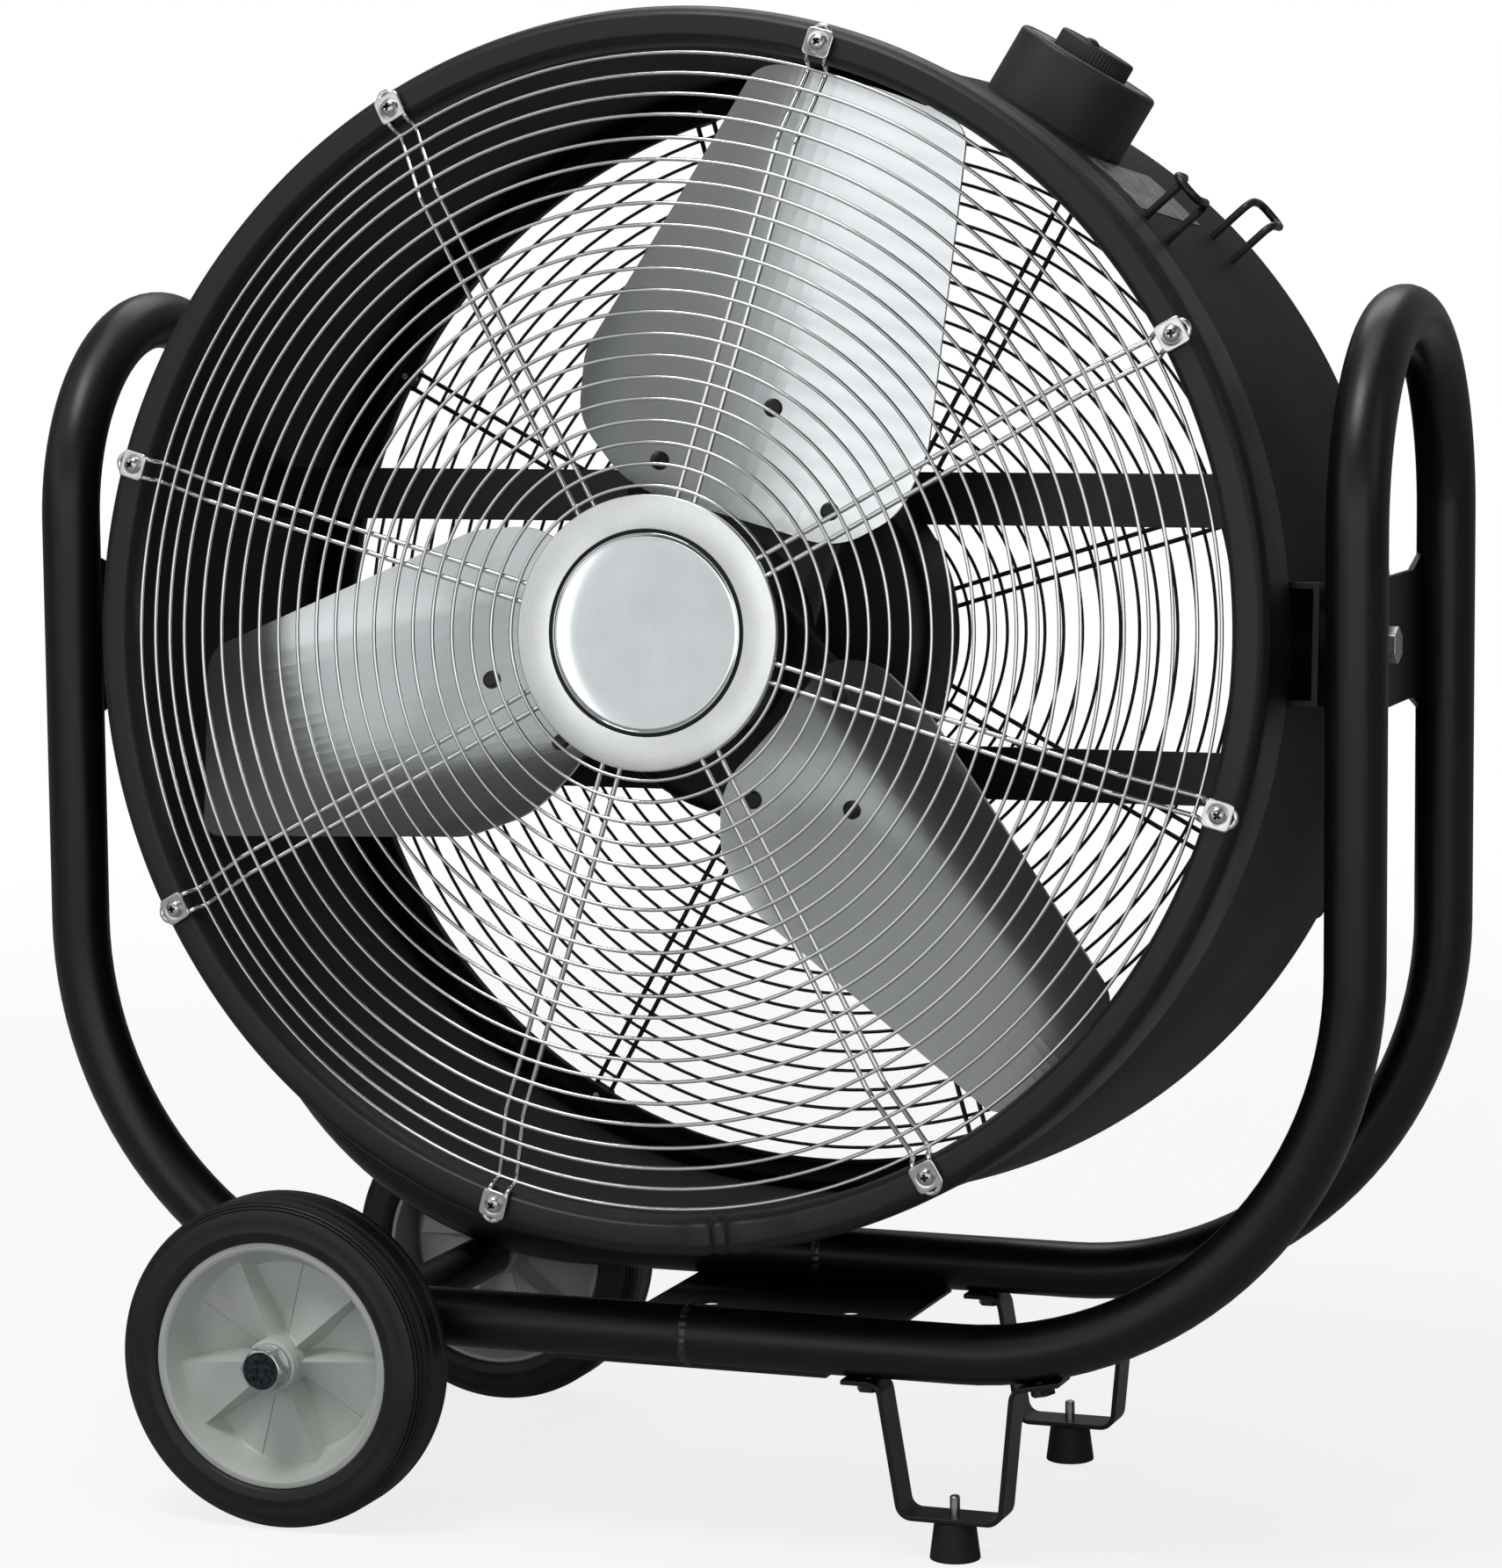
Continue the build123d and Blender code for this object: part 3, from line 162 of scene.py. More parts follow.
# Each is made from: low and high colour, size of its colour drift, roughness range, grain size and grain height.
materials = {
    # Baked powder coat on steel tube. Near black and satin, with a soft orange peel that blurs every highlight.
    "powderCoat": makeCoat("powder_coated_steel", "090909", "0D0D0D", 90, (0.33, 0.41), 1.8, 0.02, 0.4),
    # Sprayed satin enamel on rolled sheet. A shade lighter and warmer than the tubes, with slight roller waves.
    "drumEnamel": makeCoat("satin_enamelled_sheet_steel", "111210", "161715", 160, (0.5, 0.6), 2.5, 0.03, 0.15),
    # Hot oxide black on small steel parts. Thin and even, so that edges keep a dull metal glint.
    "oxideBlack": makeCoat("black_oxide_steel", "131313", "1B1B1A", 12, (0.38, 0.5), 0.8, 0.01, 0.5),
    # Black coat over cast aluminium. The casting skin shows through as a fine pebble.
    "castCoat": makeCoat("black_coated_cast_aluminium", "0C0D0C", "131413", 40, (0.5, 0.6), 1.6, 0.08, 0.4),
    # Dipped plastic coat on bent wire. Even and a little glossy, thicker in the bends.
    "wireDip": makeCoat("black_dipped_steel_wire", "101010", "151515", 30, (0.34, 0.42), 2.0, 0.02, 0.5),
    # Vulcanised solid rubber. Grey-black with a dull bloom on the side wall.
    "tyreRubber": makeCoat("vulcanised_tyre_rubber", "111212", "1A1B1A", 35, (0.46, 0.58), 1.4, 0.05, 0.4),
    # Moulded rubber foot. Matt, with the sand-blasted skin of its mould.
    "footRubber": makeCoat("moulded_foot_rubber", "111111", "191918", 10, (0.6, 0.7), 0.7, 0.03, 0.35),
    # Soft extruded PVC drawn over the rim. Dark slate, smooth, with gentle waves where it was stretched.
    "edgeSheath": makeCoat("extruded_pvc_edge_sheath", "0B0D0C", "111312", 45, (0.4, 0.5), 6.0, 0.08, 0.42),
    # Injection-moulded polypropylene. Pale grey-green, slightly waxy, with faint flow marks.
    "hubPlastic": makeCoat("moulded_polypropylene", "B4B9B4", "BDC1BC", 30, (0.3, 0.4), 2.2, 0.02, 0.42),
    # Turned natural nylon. Milky and even.
    "nylon": makeCoat("turned_natural_nylon", "C8C6BC", "D4D2C8", 20, (0.36, 0.44), 1.0, 0.01, 0.5),
    # Powder coat over a ground weld. It ran thin, so it is glossier than on the tubes. Its patchy colour, lighter
    # than the tubes' coat, is a painted glint.
    "weldCoatWithPaintedGlint": makeCoat("thin_powder_coat_on_weld_with_painted_glint", "121212", "2E2F2E", 3, (0.22, 0.32), 1.2, 0.15, 0.6),
    # Injection-moulded ABS with a spark-eroded texture. Blue-black and even.
    "housingAbs": makeCoat("spark_textured_abs", "1B1E22", "22262A", 50, (0.46, 0.56), 0.6, 0.03, 0.45),
    # Smooth grey ABS plate. Flat and clean.
    "faceAbs": makeCoat("smooth_grey_abs", "747977", "7E8381", 20, (0.4, 0.5), 0.9, 0.01, 0.5),
    # Pressed phenolic of the switch and capacitor. Brown-black, dull.
    "phenolic": makeCoat("pressed_phenolic", "181614", "211E1C", 12, (0.45, 0.55), 0.8, 0.02, 0.45),
    # Bright zinc plate with a clear passivate. Silver with faint cloudy patches.
    "zinc": makeMetal("bright_zinc_plate", "B4B8B8", "CDD0CF", 7, (0.2, 0.36), 1.0, 0.01),
    # Hex nut of plated steel, dark and mottled, with a smoky mirror finish. On the axle nuts it covers only the flat
    # faces, as painted shade.
    "smokedZinc": makeMetal("dark_smoky_zinc_plate", "1C2025", "50585F", 2.6, (0.12, 0.26), 1.2, 0.03),
    # Drawn stainless wire, polished. Clean bright highlight along its length.
    "drawnWire": makeMetal("drawn_stainless_wire", "D4D6D5", "DEE0DF", 60, (0.14, 0.2), 3.0, 0.002),
    # Pressed stainless washer plate. Bright, with light tumbling marks.
    "pressedSteel": makeMetal("pressed_stainless_plate", "D0D1CC", "DEDFDA", 6, (0.2, 0.3), 0.8, 0.006),
    # Rolled aluminium sheet with a matt mill finish. Pale, with faint drawn-out rolling marks under a thin oxide.
    "millAluminium": makeMetal("mill_finish_aluminium_sheet", "DADEE0", "E2E6E8", 160, (0.15, 0.19), 2.2, 0.0003,
                               (1, 1, 0.12), 0.91),
    # Satin foil of a blank plate. Slightly crinkled.
    "plateFoil": makeMetal("satin_aluminium_foil", "80827C", "CCCEC8", 7, (0.28, 0.42), 10.0, 0.4),
    # Stacked iron sheets. Dull grey with fine lines from the stack.
    "ironStack": makeMetal("laminated_iron", "4A4A4A", "5A5A5A", 10, (0.45, 0.55), 1.0, 0.02, (1, 6, 1)),
    # Spun stainless cup, brushed as it turned. Soft grey-white with hair lines round the centre.
    "brushedRing": makeTurnedSteel("brushed_stainless_cup", "D2D5D3", "DBDEDC", (0.22, 0.32), 0.7, 0.003),
    # Buffed stainless disc. Almost a mirror, softened by a haze.
    "buffedDisc": makeTurnedSteel("buffed_stainless_disc", "D0D6D7", "D8DEDF", (0.08, 0.11), 2.5, 0.0006),
}
print("materials made:", len(materials))


def newPiece(name, vertices, faces, edges=()):
    mesh = bpy.data.meshes.new(name)
    mesh.from_pydata([tuple(v) for v in vertices], list(edges), faces)
    piece = bpy.data.objects.new(name, mesh)
    scene.collection.objects.link(piece)
    return piece


def settle(piece):
    # Turns a piece and its modifiers into one plain mesh.
    graph = bpy.context.evaluated_depsgraph_get()
    mesh = bpy.data.meshes.new_from_object(piece.evaluated_get(graph), preserve_all_data_layers=True, depsgraph=graph)
    piece.modifiers.clear()
    piece.data = mesh
    return piece


def shade(piece, angle=35):
    # Smooth all over, with a hard line only where two faces meet at more than the angle.
    mesh = piece.data
    mesh.polygons.foreach_set("use_smooth", [True] * len(mesh.polygons))
    mesh.set_sharp_from_angle(angle=math.radians(angle))
    return piece


def rounded(piece, width, angle=30, segments=2):
    # Takes the edges off a piece, as tumbling, casting or paint does on the real one.
    shade(piece, angle)
    bevel = piece.modifiers.new("edges", "BEVEL")
    bevel.width, bevel.segments, bevel.limit_method = width * mm, segments, "ANGLE"
    bevel.angle_limit = math.radians(angle)
    bevel.use_clamp_overlap = True
    bevel.harden_normals = True
    return settle(piece)


def finished(piece, finish, *stands):
    # Gives a piece its material and its body, and lets it stand for the CAD nodes named. Without a finish, the
    # piece keeps the materials that it has.
    if finish:
        piece.data.materials.clear()
        piece.data.materials.append(materials[finish])
    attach(piece, bodyOf[stands[0]])
    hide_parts(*stands)
    return piece


def dressed(node, finish, width, angle=30, segments=2):
    # A copy of a CAD node as one welded mesh, its flat faces merged and its edges rounded.
    piece = bpy.data.objects.new(node + ".dressed", nodes[node].data.copy())
    scene.collection.objects.link(piece)
    weld = piece.modifiers.new("weld", "WELD")
    weld.merge_threshold = 2e-6
    flat = piece.modifiers.new("flat", "DECIMATE")
    flat.decimate_type, flat.angle_limit = "DISSOLVE", math.radians(0.3)
    settle(piece)
    if width:
        rounded(piece, width, angle, segments)
    else:
        shade(piece, angle)
    return finished(piece, finish, node)


def roundedOutline(corners, steps=4):
    # A closed outline of (radius, depth, bend) in millimetres with each corner turned to its bend.
    points = []
    for index, (radius, depth, bend) in enumerate(corners):
        here = Vector((radius, depth))
        if bend <= 0:
            points.append(here)
            continue
        before = (Vector(corners[index - 1][:2]) - here).normalized()
        after = (Vector(corners[(index + 1) % len(corners)][:2]) - here).normalized()
        half = before.angle(after) / 2
        centre = here + (before + after).normalized() * (bend / math.sin(half))
        first = here + before * (bend / math.tan(half)) - centre
        last = here + after * (bend / math.tan(half)) - centre
        turn = math.atan2(first.x * last.y - first.y * last.x, first.dot(last))
        for step in range(steps + 1):
            a = turn * step / steps
            spot = (first.x * math.cos(a) - first.y * math.sin(a), first.x * math.sin(a) + first.y * math.cos(a))
            points.append(centre + Vector(spot))
    return points


def ringFaces(rows, count):
    # Quads between rows of points. Each row closes on itself, and the last row meets the first.
    return [(row * count + i, row * count + (i + 1) % count, (row + 1) % rows * count + (i + 1) % count,
             (row + 1) % rows * count + i) for row in range(rows) for i in range(count)]


def turned(name, outline, steps, place, ripple=None, angle=35):
    # Turns a closed outline about the Y axis. The ripple may shift its radius and depth from place to place.
    radius = np.array([p[0] for p in outline])[None, :] + np.zeros((steps, 1))
    depth = np.array([p[1] for p in outline])[None, :] + np.zeros((steps, 1))
    angles = np.arange(steps)[:, None] * 2 * math.pi / steps
    if ripple:
        radius, depth = ripple(angles, radius, depth)
    spots = np.stack([radius * np.cos(angles), depth, radius * np.sin(angles)], axis=-1) * mm
    piece = newPiece(name, spots.reshape(-1, 3), ringFaces(steps, len(outline)))
    piece.data.transform(place)
    return closedUp(piece, angle)


def closedUp(piece, angle=35):
    # Merges what lies together, drops faces that shrank to nothing and turns the rest outwards.
    weld = piece.modifiers.new("weld", "WELD")
    weld.merge_threshold = 1e-6
    settle(piece)
    work = bmesh.new()
    work.from_mesh(piece.data)
    bmesh.ops.dissolve_degenerate(work, dist=1e-7, edges=work.edges[:])
    bmesh.ops.recalc_face_normals(work, faces=work.faces[:])
    work.to_mesh(piece.data)
    work.free()
    return shade(piece, angle)


def newTree(name, sizes):
    # An empty Geometry Nodes tree with one named input for each size.
    tree = bpy.data.node_groups.new(name, "GeometryNodeTree")
    tree.interface.new_socket("Geometry", in_out="OUTPUT", socket_type="NodeSocketGeometry")
    tree.interface.new_socket("Geometry", in_out="INPUT", socket_type="NodeSocketGeometry")
    for label, kind in sizes.items():
        tree.interface.new_socket(label, in_out="INPUT", socket_type="NodeSocket" + kind)
    return tree, addNode(tree, "NodeGroupInput").outputs


def closeTree(tree, geometry, material=None):
    # Ends the tree, with the material on its result where one is given.
    if material is not None:
        geometry = addFlow(tree, "GeometryNodeSetMaterial", links={"Geometry": geometry, "Material": material})
    addNode(tree, "NodeGroupOutput", links={"Geometry": geometry})
    return tree


def closeWire(tree, given, curve, capped):
    # Gives a curve its round section and its material, and ends the tree.
    section = addFlow(tree, "GeometryNodeCurvePrimitiveCircle", links={
        "Resolution": given["Sides"], "Radius": given["Wire Radius"]})
    wire = addFlow(tree, "GeometryNodeCurveToMesh", {"Fill Caps": capped},
                   {"Curve": curve, "Profile Curve": section})
    smooth = addFlow(tree, "GeometryNodeSetShadeSmooth", links={"Geometry": wire})
    return closeTree(tree, smooth, given["Material"])


def runTree(piece, tree, values):
    # Sets the tree's inputs by their identifiers and turns its result into a plain mesh.
    modifier = piece.modifiers.new(tree.name, "NODES")
    modifier.node_group = tree
    for item in tree.interface.items_tree:
        if item.item_type == "SOCKET" and item.in_out == "INPUT" and item.name in values:
            modifier[item.identifier] = values[item.name]
    return settle(piece)


def makeAroundTree(name, coated):
    # Copies one piece round the fan axis, the first at an angle that counts counterclockwise from the front.
    sizes = {"Count": "Int", "First Angle": "Float"}
    tree, given = newTree(name, {**sizes, "Material": "Material"} if coated else sizes)
    points = addFlow(tree, "GeometryNodePoints", links={"Count": given["Count"]})
    index = addFlow(tree, "GeometryNodeInputIndex")
    step = addMath(tree, "DIVIDE", -2 * math.pi, given["Count"])
    first = addMath(tree, "MULTIPLY", given["First Angle"], -1.0)
    axis = addFlow(tree, "ShaderNodeCombineXYZ", links={"Y": addMath(tree, "MULTIPLY_ADD", index, step, first)})
    rotation = addFlow(tree, "FunctionNodeEulerToRotation", links={"Euler": axis})
    copies = addFlow(tree, "GeometryNodeInstanceOnPoints", links={
        "Points": points, "Instance": given["Geometry"], "Rotation": rotation})
    real = addFlow(tree, "GeometryNodeRealizeInstances", links={"Geometry": copies})
    return closeTree(tree, real, given["Material"] if coated else None)


def makeWireTree():
    # Gives a bent line of edges round bends and a round section.
    tree, given = newTree("roundWire", {"Bend Radius": "Float", "Wire Radius": "Float", "Sides": "Int",
                                        "Material": "Material"})
    path = addFlow(tree, "GeometryNodeMeshToCurve", links={"Mesh": given["Geometry"]})
    bends = addFlow(tree, "GeometryNodeFilletCurve", {"mode": "POLY", "Count": 7, "Limit Radius": True},
                    {"Curve": path, "Radius": given["Bend Radius"]})
    return closeWire(tree, given, bends, True)


def makeRingsTree():
    # Wire rings inside each other, the outer ones following the slope of the dished spokes.
    tree, given = newTree("wireRings", {
        "Ring Count": "Int", "Outer Radius": "Float", "Ring Pitch": "Float", "Dish Radius": "Float",
        "Dish Slope": "Float", "Dish Depth": "Float", "Wire Gap": "Float", "Side": "Float", "Wire Radius": "Float",
        "Around": "Int", "Sides": "Int", "Material": "Material"})
    points = addFlow(tree, "GeometryNodePoints", links={"Count": given["Ring Count"]})
    index = addFlow(tree, "GeometryNodeInputIndex")
    inward = addMath(tree, "MULTIPLY", index, given["Ring Pitch"])
    radius = addMath(tree, "SUBTRACT", given["Outer Radius"], inward)
    past = addMath(tree, "SUBTRACT", radius, given["Dish Radius"])
    fall = addMath(tree, "MULTIPLY", addMath(tree, "MAXIMUM", past, 0.0), given["Dish Slope"])
    level = addMath(tree, "SUBTRACT", given["Dish Depth"], fall)
    # A ring on the slope stands off the spokes at a right angle to it.
    steep = addMath(tree, "ARCTANGENT", given["Dish Slope"])
    lean = addMath(tree, "MULTIPLY", steep, addMath(tree, "GREATER_THAN", past, 0.0))
    out = addMath(tree, "MULTIPLY_ADD", addMath(tree, "COSINE", lean), given["Wire Gap"], level)
    wide = addMath(tree, "MULTIPLY_ADD", addMath(tree, "SINE", lean), given["Wire Gap"], radius)
    spot = addFlow(tree, "ShaderNodeCombineXYZ", links={"Y": addMath(tree, "MULTIPLY", out, given["Side"])})
    placed = addFlow(tree, "GeometryNodeSetPosition", links={"Geometry": points, "Position": spot})
    circle = addFlow(tree, "GeometryNodeCurvePrimitiveCircle", {"Radius": 1.0}, {"Resolution": given["Around"]})
    size = addFlow(tree, "ShaderNodeCombineXYZ", links={"X": wide, "Y": wide, "Z": wide})
    upright = addFlow(tree, "FunctionNodeEulerToRotation", {"Euler": (math.pi / 2, 0, 0)})
    rings = addFlow(tree, "GeometryNodeInstanceOnPoints", links={
        "Points": placed, "Instance": circle, "Rotation": upright, "Scale": size})
    real = addFlow(tree, "GeometryNodeRealizeInstances", links={"Geometry": rings})
    even = addFlow(tree, "GeometryNodeSetCurveRadius", {"Radius": 1.0}, {"Curve": real})
    return closeWire(tree, given, even, False)


aroundTree, aroundPlainTree = makeAroundTree("copiesRoundTheDrum", True), makeAroundTree("plainCopiesRound", False)
wireTree, ringsTree = makeWireTree(), makeRingsTree()


def copiesAround(piece, finish, count, firstAngle):
    # Without a finish, the copies keep the materials that the piece already has.
    values = {"Count": count, "First Angle": math.radians(firstAngle)}
    if finish:
        runTree(piece, aroundTree, {**values, "Material": materials[finish]})
    else:
        runTree(piece, aroundPlainTree, values)
    piece.data.transform(drumPlace)
    return piece


grille = {"ringCount": 21, "outerRadius": 330.0, "ringPitch": 12.3, "dishRadius": 288.0, "dishDepth": 175.5,
          "dishSlope": 20 / 44.8, "dishFoot": (332.8, -155.5), "ringWire": 1.1, "spokeWire": 1.5, "spokeGap": 5.5,
          "spokeCount": 8, "frontAngle": 29.3, "rearAngle": 17.0, "rimDepth": 166.5, "rimStep": 336.0,
          "spokeInner": 66.0, "spokeEnd": 356.0, "around": 180, "sides": 10}


def makeRings(name, node, finish, side, depth, slope):
    g = grille
    piece = newPiece(name, [(0, 0, 0)], [])
    runTree(piece, ringsTree, {
        "Ring Count": g["ringCount"], "Outer Radius": g["outerRadius"] * mm, "Ring Pitch": g["ringPitch"] * mm,
        "Dish Radius": g["dishRadius"] * mm, "Dish Slope": slope, "Dish Depth": depth * mm,
        "Wire Gap": (g["spokeWire"] + g["ringWire"]) * mm, "Side": float(side), "Wire Radius": g["ringWire"] * mm,
        "Around": g["around"], "Sides": g["sides"], "Material": materials[finish]})
    piece.data.transform(drumPlace)
    return finished(piece, finish, node)


def makeSpokes(name, node, finish, stations, firstAngle):
    # One hairpin: two parallel wires and the half turn that joins them at the rim.
    g = grille
    one = [(r * mm, y * mm, -g["spokeGap"] * mm) for r, y in stations]
    path = one + [(x, y, -z) for x, y, z in reversed(one)]
    piece = newPiece(name, path, [], [(i, i + 1) for i in range(len(path) - 1)])
    runTree(piece, wireTree, {"Bend Radius": g["spokeGap"] * mm * 0.999, "Wire Radius": g["spokeWire"] * mm,
                              "Sides": g["sides"], "Material": materials[finish]})
    copiesAround(piece, finish, g["spokeCount"], firstAngle)
    return finished(piece, finish, node)


frontStations = [(grille["spokeInner"], -grille["dishDepth"]), (grille["dishRadius"], -grille["dishDepth"]),
                 grille["dishFoot"], (grille["rimStep"], -grille["rimDepth"]),
                 (grille["spokeEnd"], -grille["rimDepth"])]
rearStations = [(grille["spokeInner"], grille["rimDepth"]), (grille["spokeEnd"], grille["rimDepth"])]
makeRings("frontRings", "front_grille_rings", "drawnWire", -1, grille["dishDepth"], grille["dishSlope"])
makeRings("rearRings", "rear_grille_rings", "wireDip", 1, grille["rimDepth"], 0.0)
makeSpokes("frontSpokes", "front_grille_spokes", "drawnWire", frontStations, grille["frontAngle"])
makeSpokes("rearSpokes", "rear_grille_spokes", "wireDip", rearStations, grille["rearAngle"])
print("grilles made")


clip = {"circle": 346.0, "half": 8.0, "sheet": 0.9, "back": 168.02, "dish": 0.5, "seat": 4.2, "brim": 6.6,
        "hole": 2.0, "tilt": 0.11, "tiltAbout": 3, "corner": 7.0, "worn": 0.25, "around": 48,
        "shares": (0.0, 0.3, 0.5, 0.62, 0.72, 0.8, 0.88, 0.95, 1.0)}


def makeClip(name, side, firstAngle):
    # A pressed square plate: a flat brim on the two wires and a dished seat for the screw between them.
    # The screw pulls its outer side down a little, so that each plate leans away from the drum's middle.
    c = clip
    turns = np.arange(c["around"]) * 2 * math.pi / c["around"] + math.pi / c["around"]
    cos, sin = np.cos(turns), np.sin(turns)
    square = c["half"] / np.maximum(np.abs(cos), np.abs(sin))
    soft = c["half"] / (np.abs(cos) ** c["corner"] + np.abs(sin) ** c["corner"]) ** (1 / c["corner"])
    reach = np.minimum(square, soft)
    spots = []
    for sheet in (1.0, 0.0):
        for share in (c["shares"] if sheet else c["shares"][::-1]):
            r = c["hole"] + (reach - c["hole"]) * share
            t = np.clip((r - c["seat"]) / (c["brim"] - c["seat"]), 0, 1)
            rise = c["dish"] * (t * t * (3 - 2 * t)) - c["dish"]
            edge = -c["worn"] if share == 1.0 and sheet else 0.0
            out = c["back"] + rise + c["sheet"] * sheet + edge
            spots += [((c["circle"] + a) * mm, side * (o + c["tilt"] * (c["tiltAbout"] - a)) * mm, b * mm)
                      for a, b, o in zip(r * cos, r * sin, out)]
    piece = closedUp(newPiece(name, spots, ringFaces(2 * len(c["shares"]), c["around"])), 40)
    copiesAround(piece, "pressedSteel", grille["spokeCount"], firstAngle)
    return finished(piece, "pressedSteel", "grille_clips")


# The crown is the head's outline as (radius, fall below the top).
screw = {"under": 168.7, "top": 172.4, "rim": 4.9, "shank": 2.0, "length": 9.0, "slot": 1.7, "slotReach": 5.4,
         "slotDepth": 2.8, "turn": 20,
         "crown": ((0, 0), (2.2, 0.12), (3.4, 0.5), (4.3, 1.2), (4.85, 2.1), (5.0, 2.9))}


def makeScrew(name, side, firstAngle):
    # A pan head with a cross recess that narrows as it goes in.
    s = screw
    outline = [(r, s["top"] - fall) for r, fall in s["crown"]]
    outline += [(s["rim"], s["under"]), (s["shank"], s["under"]), (s["shank"], s["under"] - s["length"]),
                (0, s["under"] - s["length"])]
    head = turned(name, [(r, side * y) for r, y in outline], 32, Matrix(), angle=50)
    w, reach, deep = s["slot"] / 2, s["slotReach"] / 2, s["top"] - s["slotDepth"]
    bars = []
    for turn in (0, 1):
        for a, b, level in ((reach, w, s["top"] + 1), (reach * 0.45, w * 0.7, deep)):
            for x, z in ((-a, -b), (a, -b), (a, b), (-a, b)):
                bars.append(((x, z) if turn else (z, x)) + (level,))
    spots = [(x * mm, side * y * mm, z * mm) for x, z, y in bars]
    faces = [(3, 2, 1, 0), (4, 5, 6, 7)] + [(i, (i + 1) % 4, 4 + (i + 1) % 4, 4 + i) for i in range(4)]
    cutters = []
    for index in (0, 1):
        bar = newPiece(f"{name}.recess{index}", spots[index * 8:index * 8 + 8], faces)
        closedUp(bar)
        cut = head.modifiers.new("recess", "BOOLEAN")
        cut.operation, cut.solver, cut.object = "DIFFERENCE", "EXACT", bar
        cutters.append(bar)
    settle(head)
    for bar in cutters:
        bpy.data.objects.remove(bar)
    shade(head, 40)
    head.data.materials.append(materials["zinc"])
    head.data.materials.append(materials["oxideBlack"])
    for face in head.data.polygons:
        # Painted shade: the faces inside the cross recess get the dark oxide black, which stands in for the shade
        # that falls in the recess.
        middle = face.center / mm
        inside = math.hypot(middle.x, middle.z) < 3.2 and s["under"] + 0.4 < side * middle.y < s["top"] - 0.6
        face.material_index = 1 if inside else 0
    head.data.transform(Matrix.Rotation(math.radians(s["turn"]), 4, "Y"))
    foot = Matrix.Translation((0, side * clip["back"] * mm, 0))
    head.data.transform(foot @ Matrix.Rotation(-side * math.atan(clip["tilt"]), 4, "Z") @ foot.inverted())
    head.data.transform(Matrix.Translation((clip["circle"] * mm, 0, 0)))
    copiesAround(head, None, grille["spokeCount"], firstAngle)
    return finished(head, None, "clip_screws")


for side, label, start in ((-1, "front", grille["frontAngle"]), (1, "rear", grille["rearAngle"])):
    makeClip(label + "Clips", side, start)
    makeScrew(label + "ClipScrews", side, start)
print("clips and screws made")


shellSizes = {"radius": 355.0, "wall": 2.5, "straight": 105.0, "rimStart": 150.0, "lipRadius": 335.5,
              "lipDepth": 148.0, "rimRadius": 358.0, "halfDepth": 165.0, "sheath": 1.5, "land": 4.5, "around": 256}


def rimOutline(end, inset, start, steps=9):
    # From the barrel out over the flare and the rolled edge to the inner lip, as (radius, depth).
    # The inset is how far the line lies under the outer skin.
    s = shellSizes
    outer, face, lip = s["rimRadius"] - inset, s["halfDepth"] - inset, s["lipRadius"] + inset
    landOut, landIn = clip["circle"] + s["land"], clip["circle"] - s["land"]
    bends = [math.pi / 2 * k / steps for k in range(steps + 1)]
    flare = [(landOut + (outer - landOut) * math.cos(a), s["rimStart"] + (face - s["rimStart"]) * math.sin(a))
             for a in bends]
    rolled = [(landIn - (landIn - lip) * math.sin(a), s["lipDepth"] + (face - s["lipDepth"]) * math.cos(a))
              for a in bends]
    return [(radius, end * depth) for radius, depth in [(s["radius"] + start, s["straight"])] + flare + rolled]


def makeShell():
    s = shellSizes
    wall, thin = s["wall"], s["sheath"]
    front, frontIn = rimOutline(-1, thin, 0), rimOutline(-1, thin + wall, -wall)
    rear, rearIn = rimOutline(1, 0, 0), rimOutline(1, wall, -wall)
    outline = front[::-1] + rear + rearIn[::-1] + frontIn
    piece = turned("barrelSheet", outline, s["around"], drumPlace, angle=40)
    return finished(piece, "drumEnamel", "drum_shell")


sheathSizes = {"thick": 1.5, "joint": -83.0, "gap": 0.3, "depth": 1.9, "wave": 0.12, "around": 1440,
               "creases": (-0.75, 0.75), "middle": (345.0, -142.0),
               "ridges": ((0.7, 0.05, 0.5), (0.83, 0.05, 0.6)),
               "lumps": ((0.0, 0.4, 0.5), (2.3, 1.0, 0.9), (5.6, 1.6, -0.5), (8.6, 1.5, 0.5), (-2.3, 1.0, 0.8),
                         (-5.2, 2.0, -0.4))}


def sheathRipple(angles, radius, depth):
    # Long gentle waves, and at the bottom the butt joint: two short creases with a soft lump on each side.
    s = sheathSizes
    away = (np.degrees(angles) - s["joint"] + 180) % 360 - 180
    waves = np.sin(angles * 5 + 0.8) + 0.7 * np.sin(angles * 11 + 2.1) + 0.3 * np.sin(angles * 23)
    bow = away + 0.02 * (depth + 150)
    creases = sum(np.exp(-((bow - spot) / s["gap"]) ** 2) for spot in s["creases"])
    lumps = sum(high * np.exp(-((away - spot) / wide) ** 2) for spot, wide, high in s["lumps"])
    swell = s["wave"] * waves + lumps - s["depth"] * creases
    # Only the outer skin moves, away from the middle of the rolled edge, and least at its two borders.
    dr, dy = radius - s["middle"][0], depth - s["middle"][1]
    far = np.hypot(dr, dy)
    skin = np.zeros(radius.shape[1])
    count = radius.shape[1] - s["outerStart"]
    skin[s["outerStart"]:] = np.sin(np.linspace(0.15, math.pi - 0.15, count)) ** 0.5
    # Two soft folds run round the outer side, where the sheath was stretched over the flare.
    across = np.full(radius.shape[1], 9.0)
    across[s["outerStart"]:] = np.linspace(0, 1, count)
    folds = sum(high * np.exp(-((across - spot) / wide) ** 2) for spot, wide, high in s["ridges"])
    move = swell * skin[None, :] + folds[None, :] * (1 + 0.4 * np.sin(angles * 3 + 0.5))
    return radius + dr / far * move, depth + dy / far * move


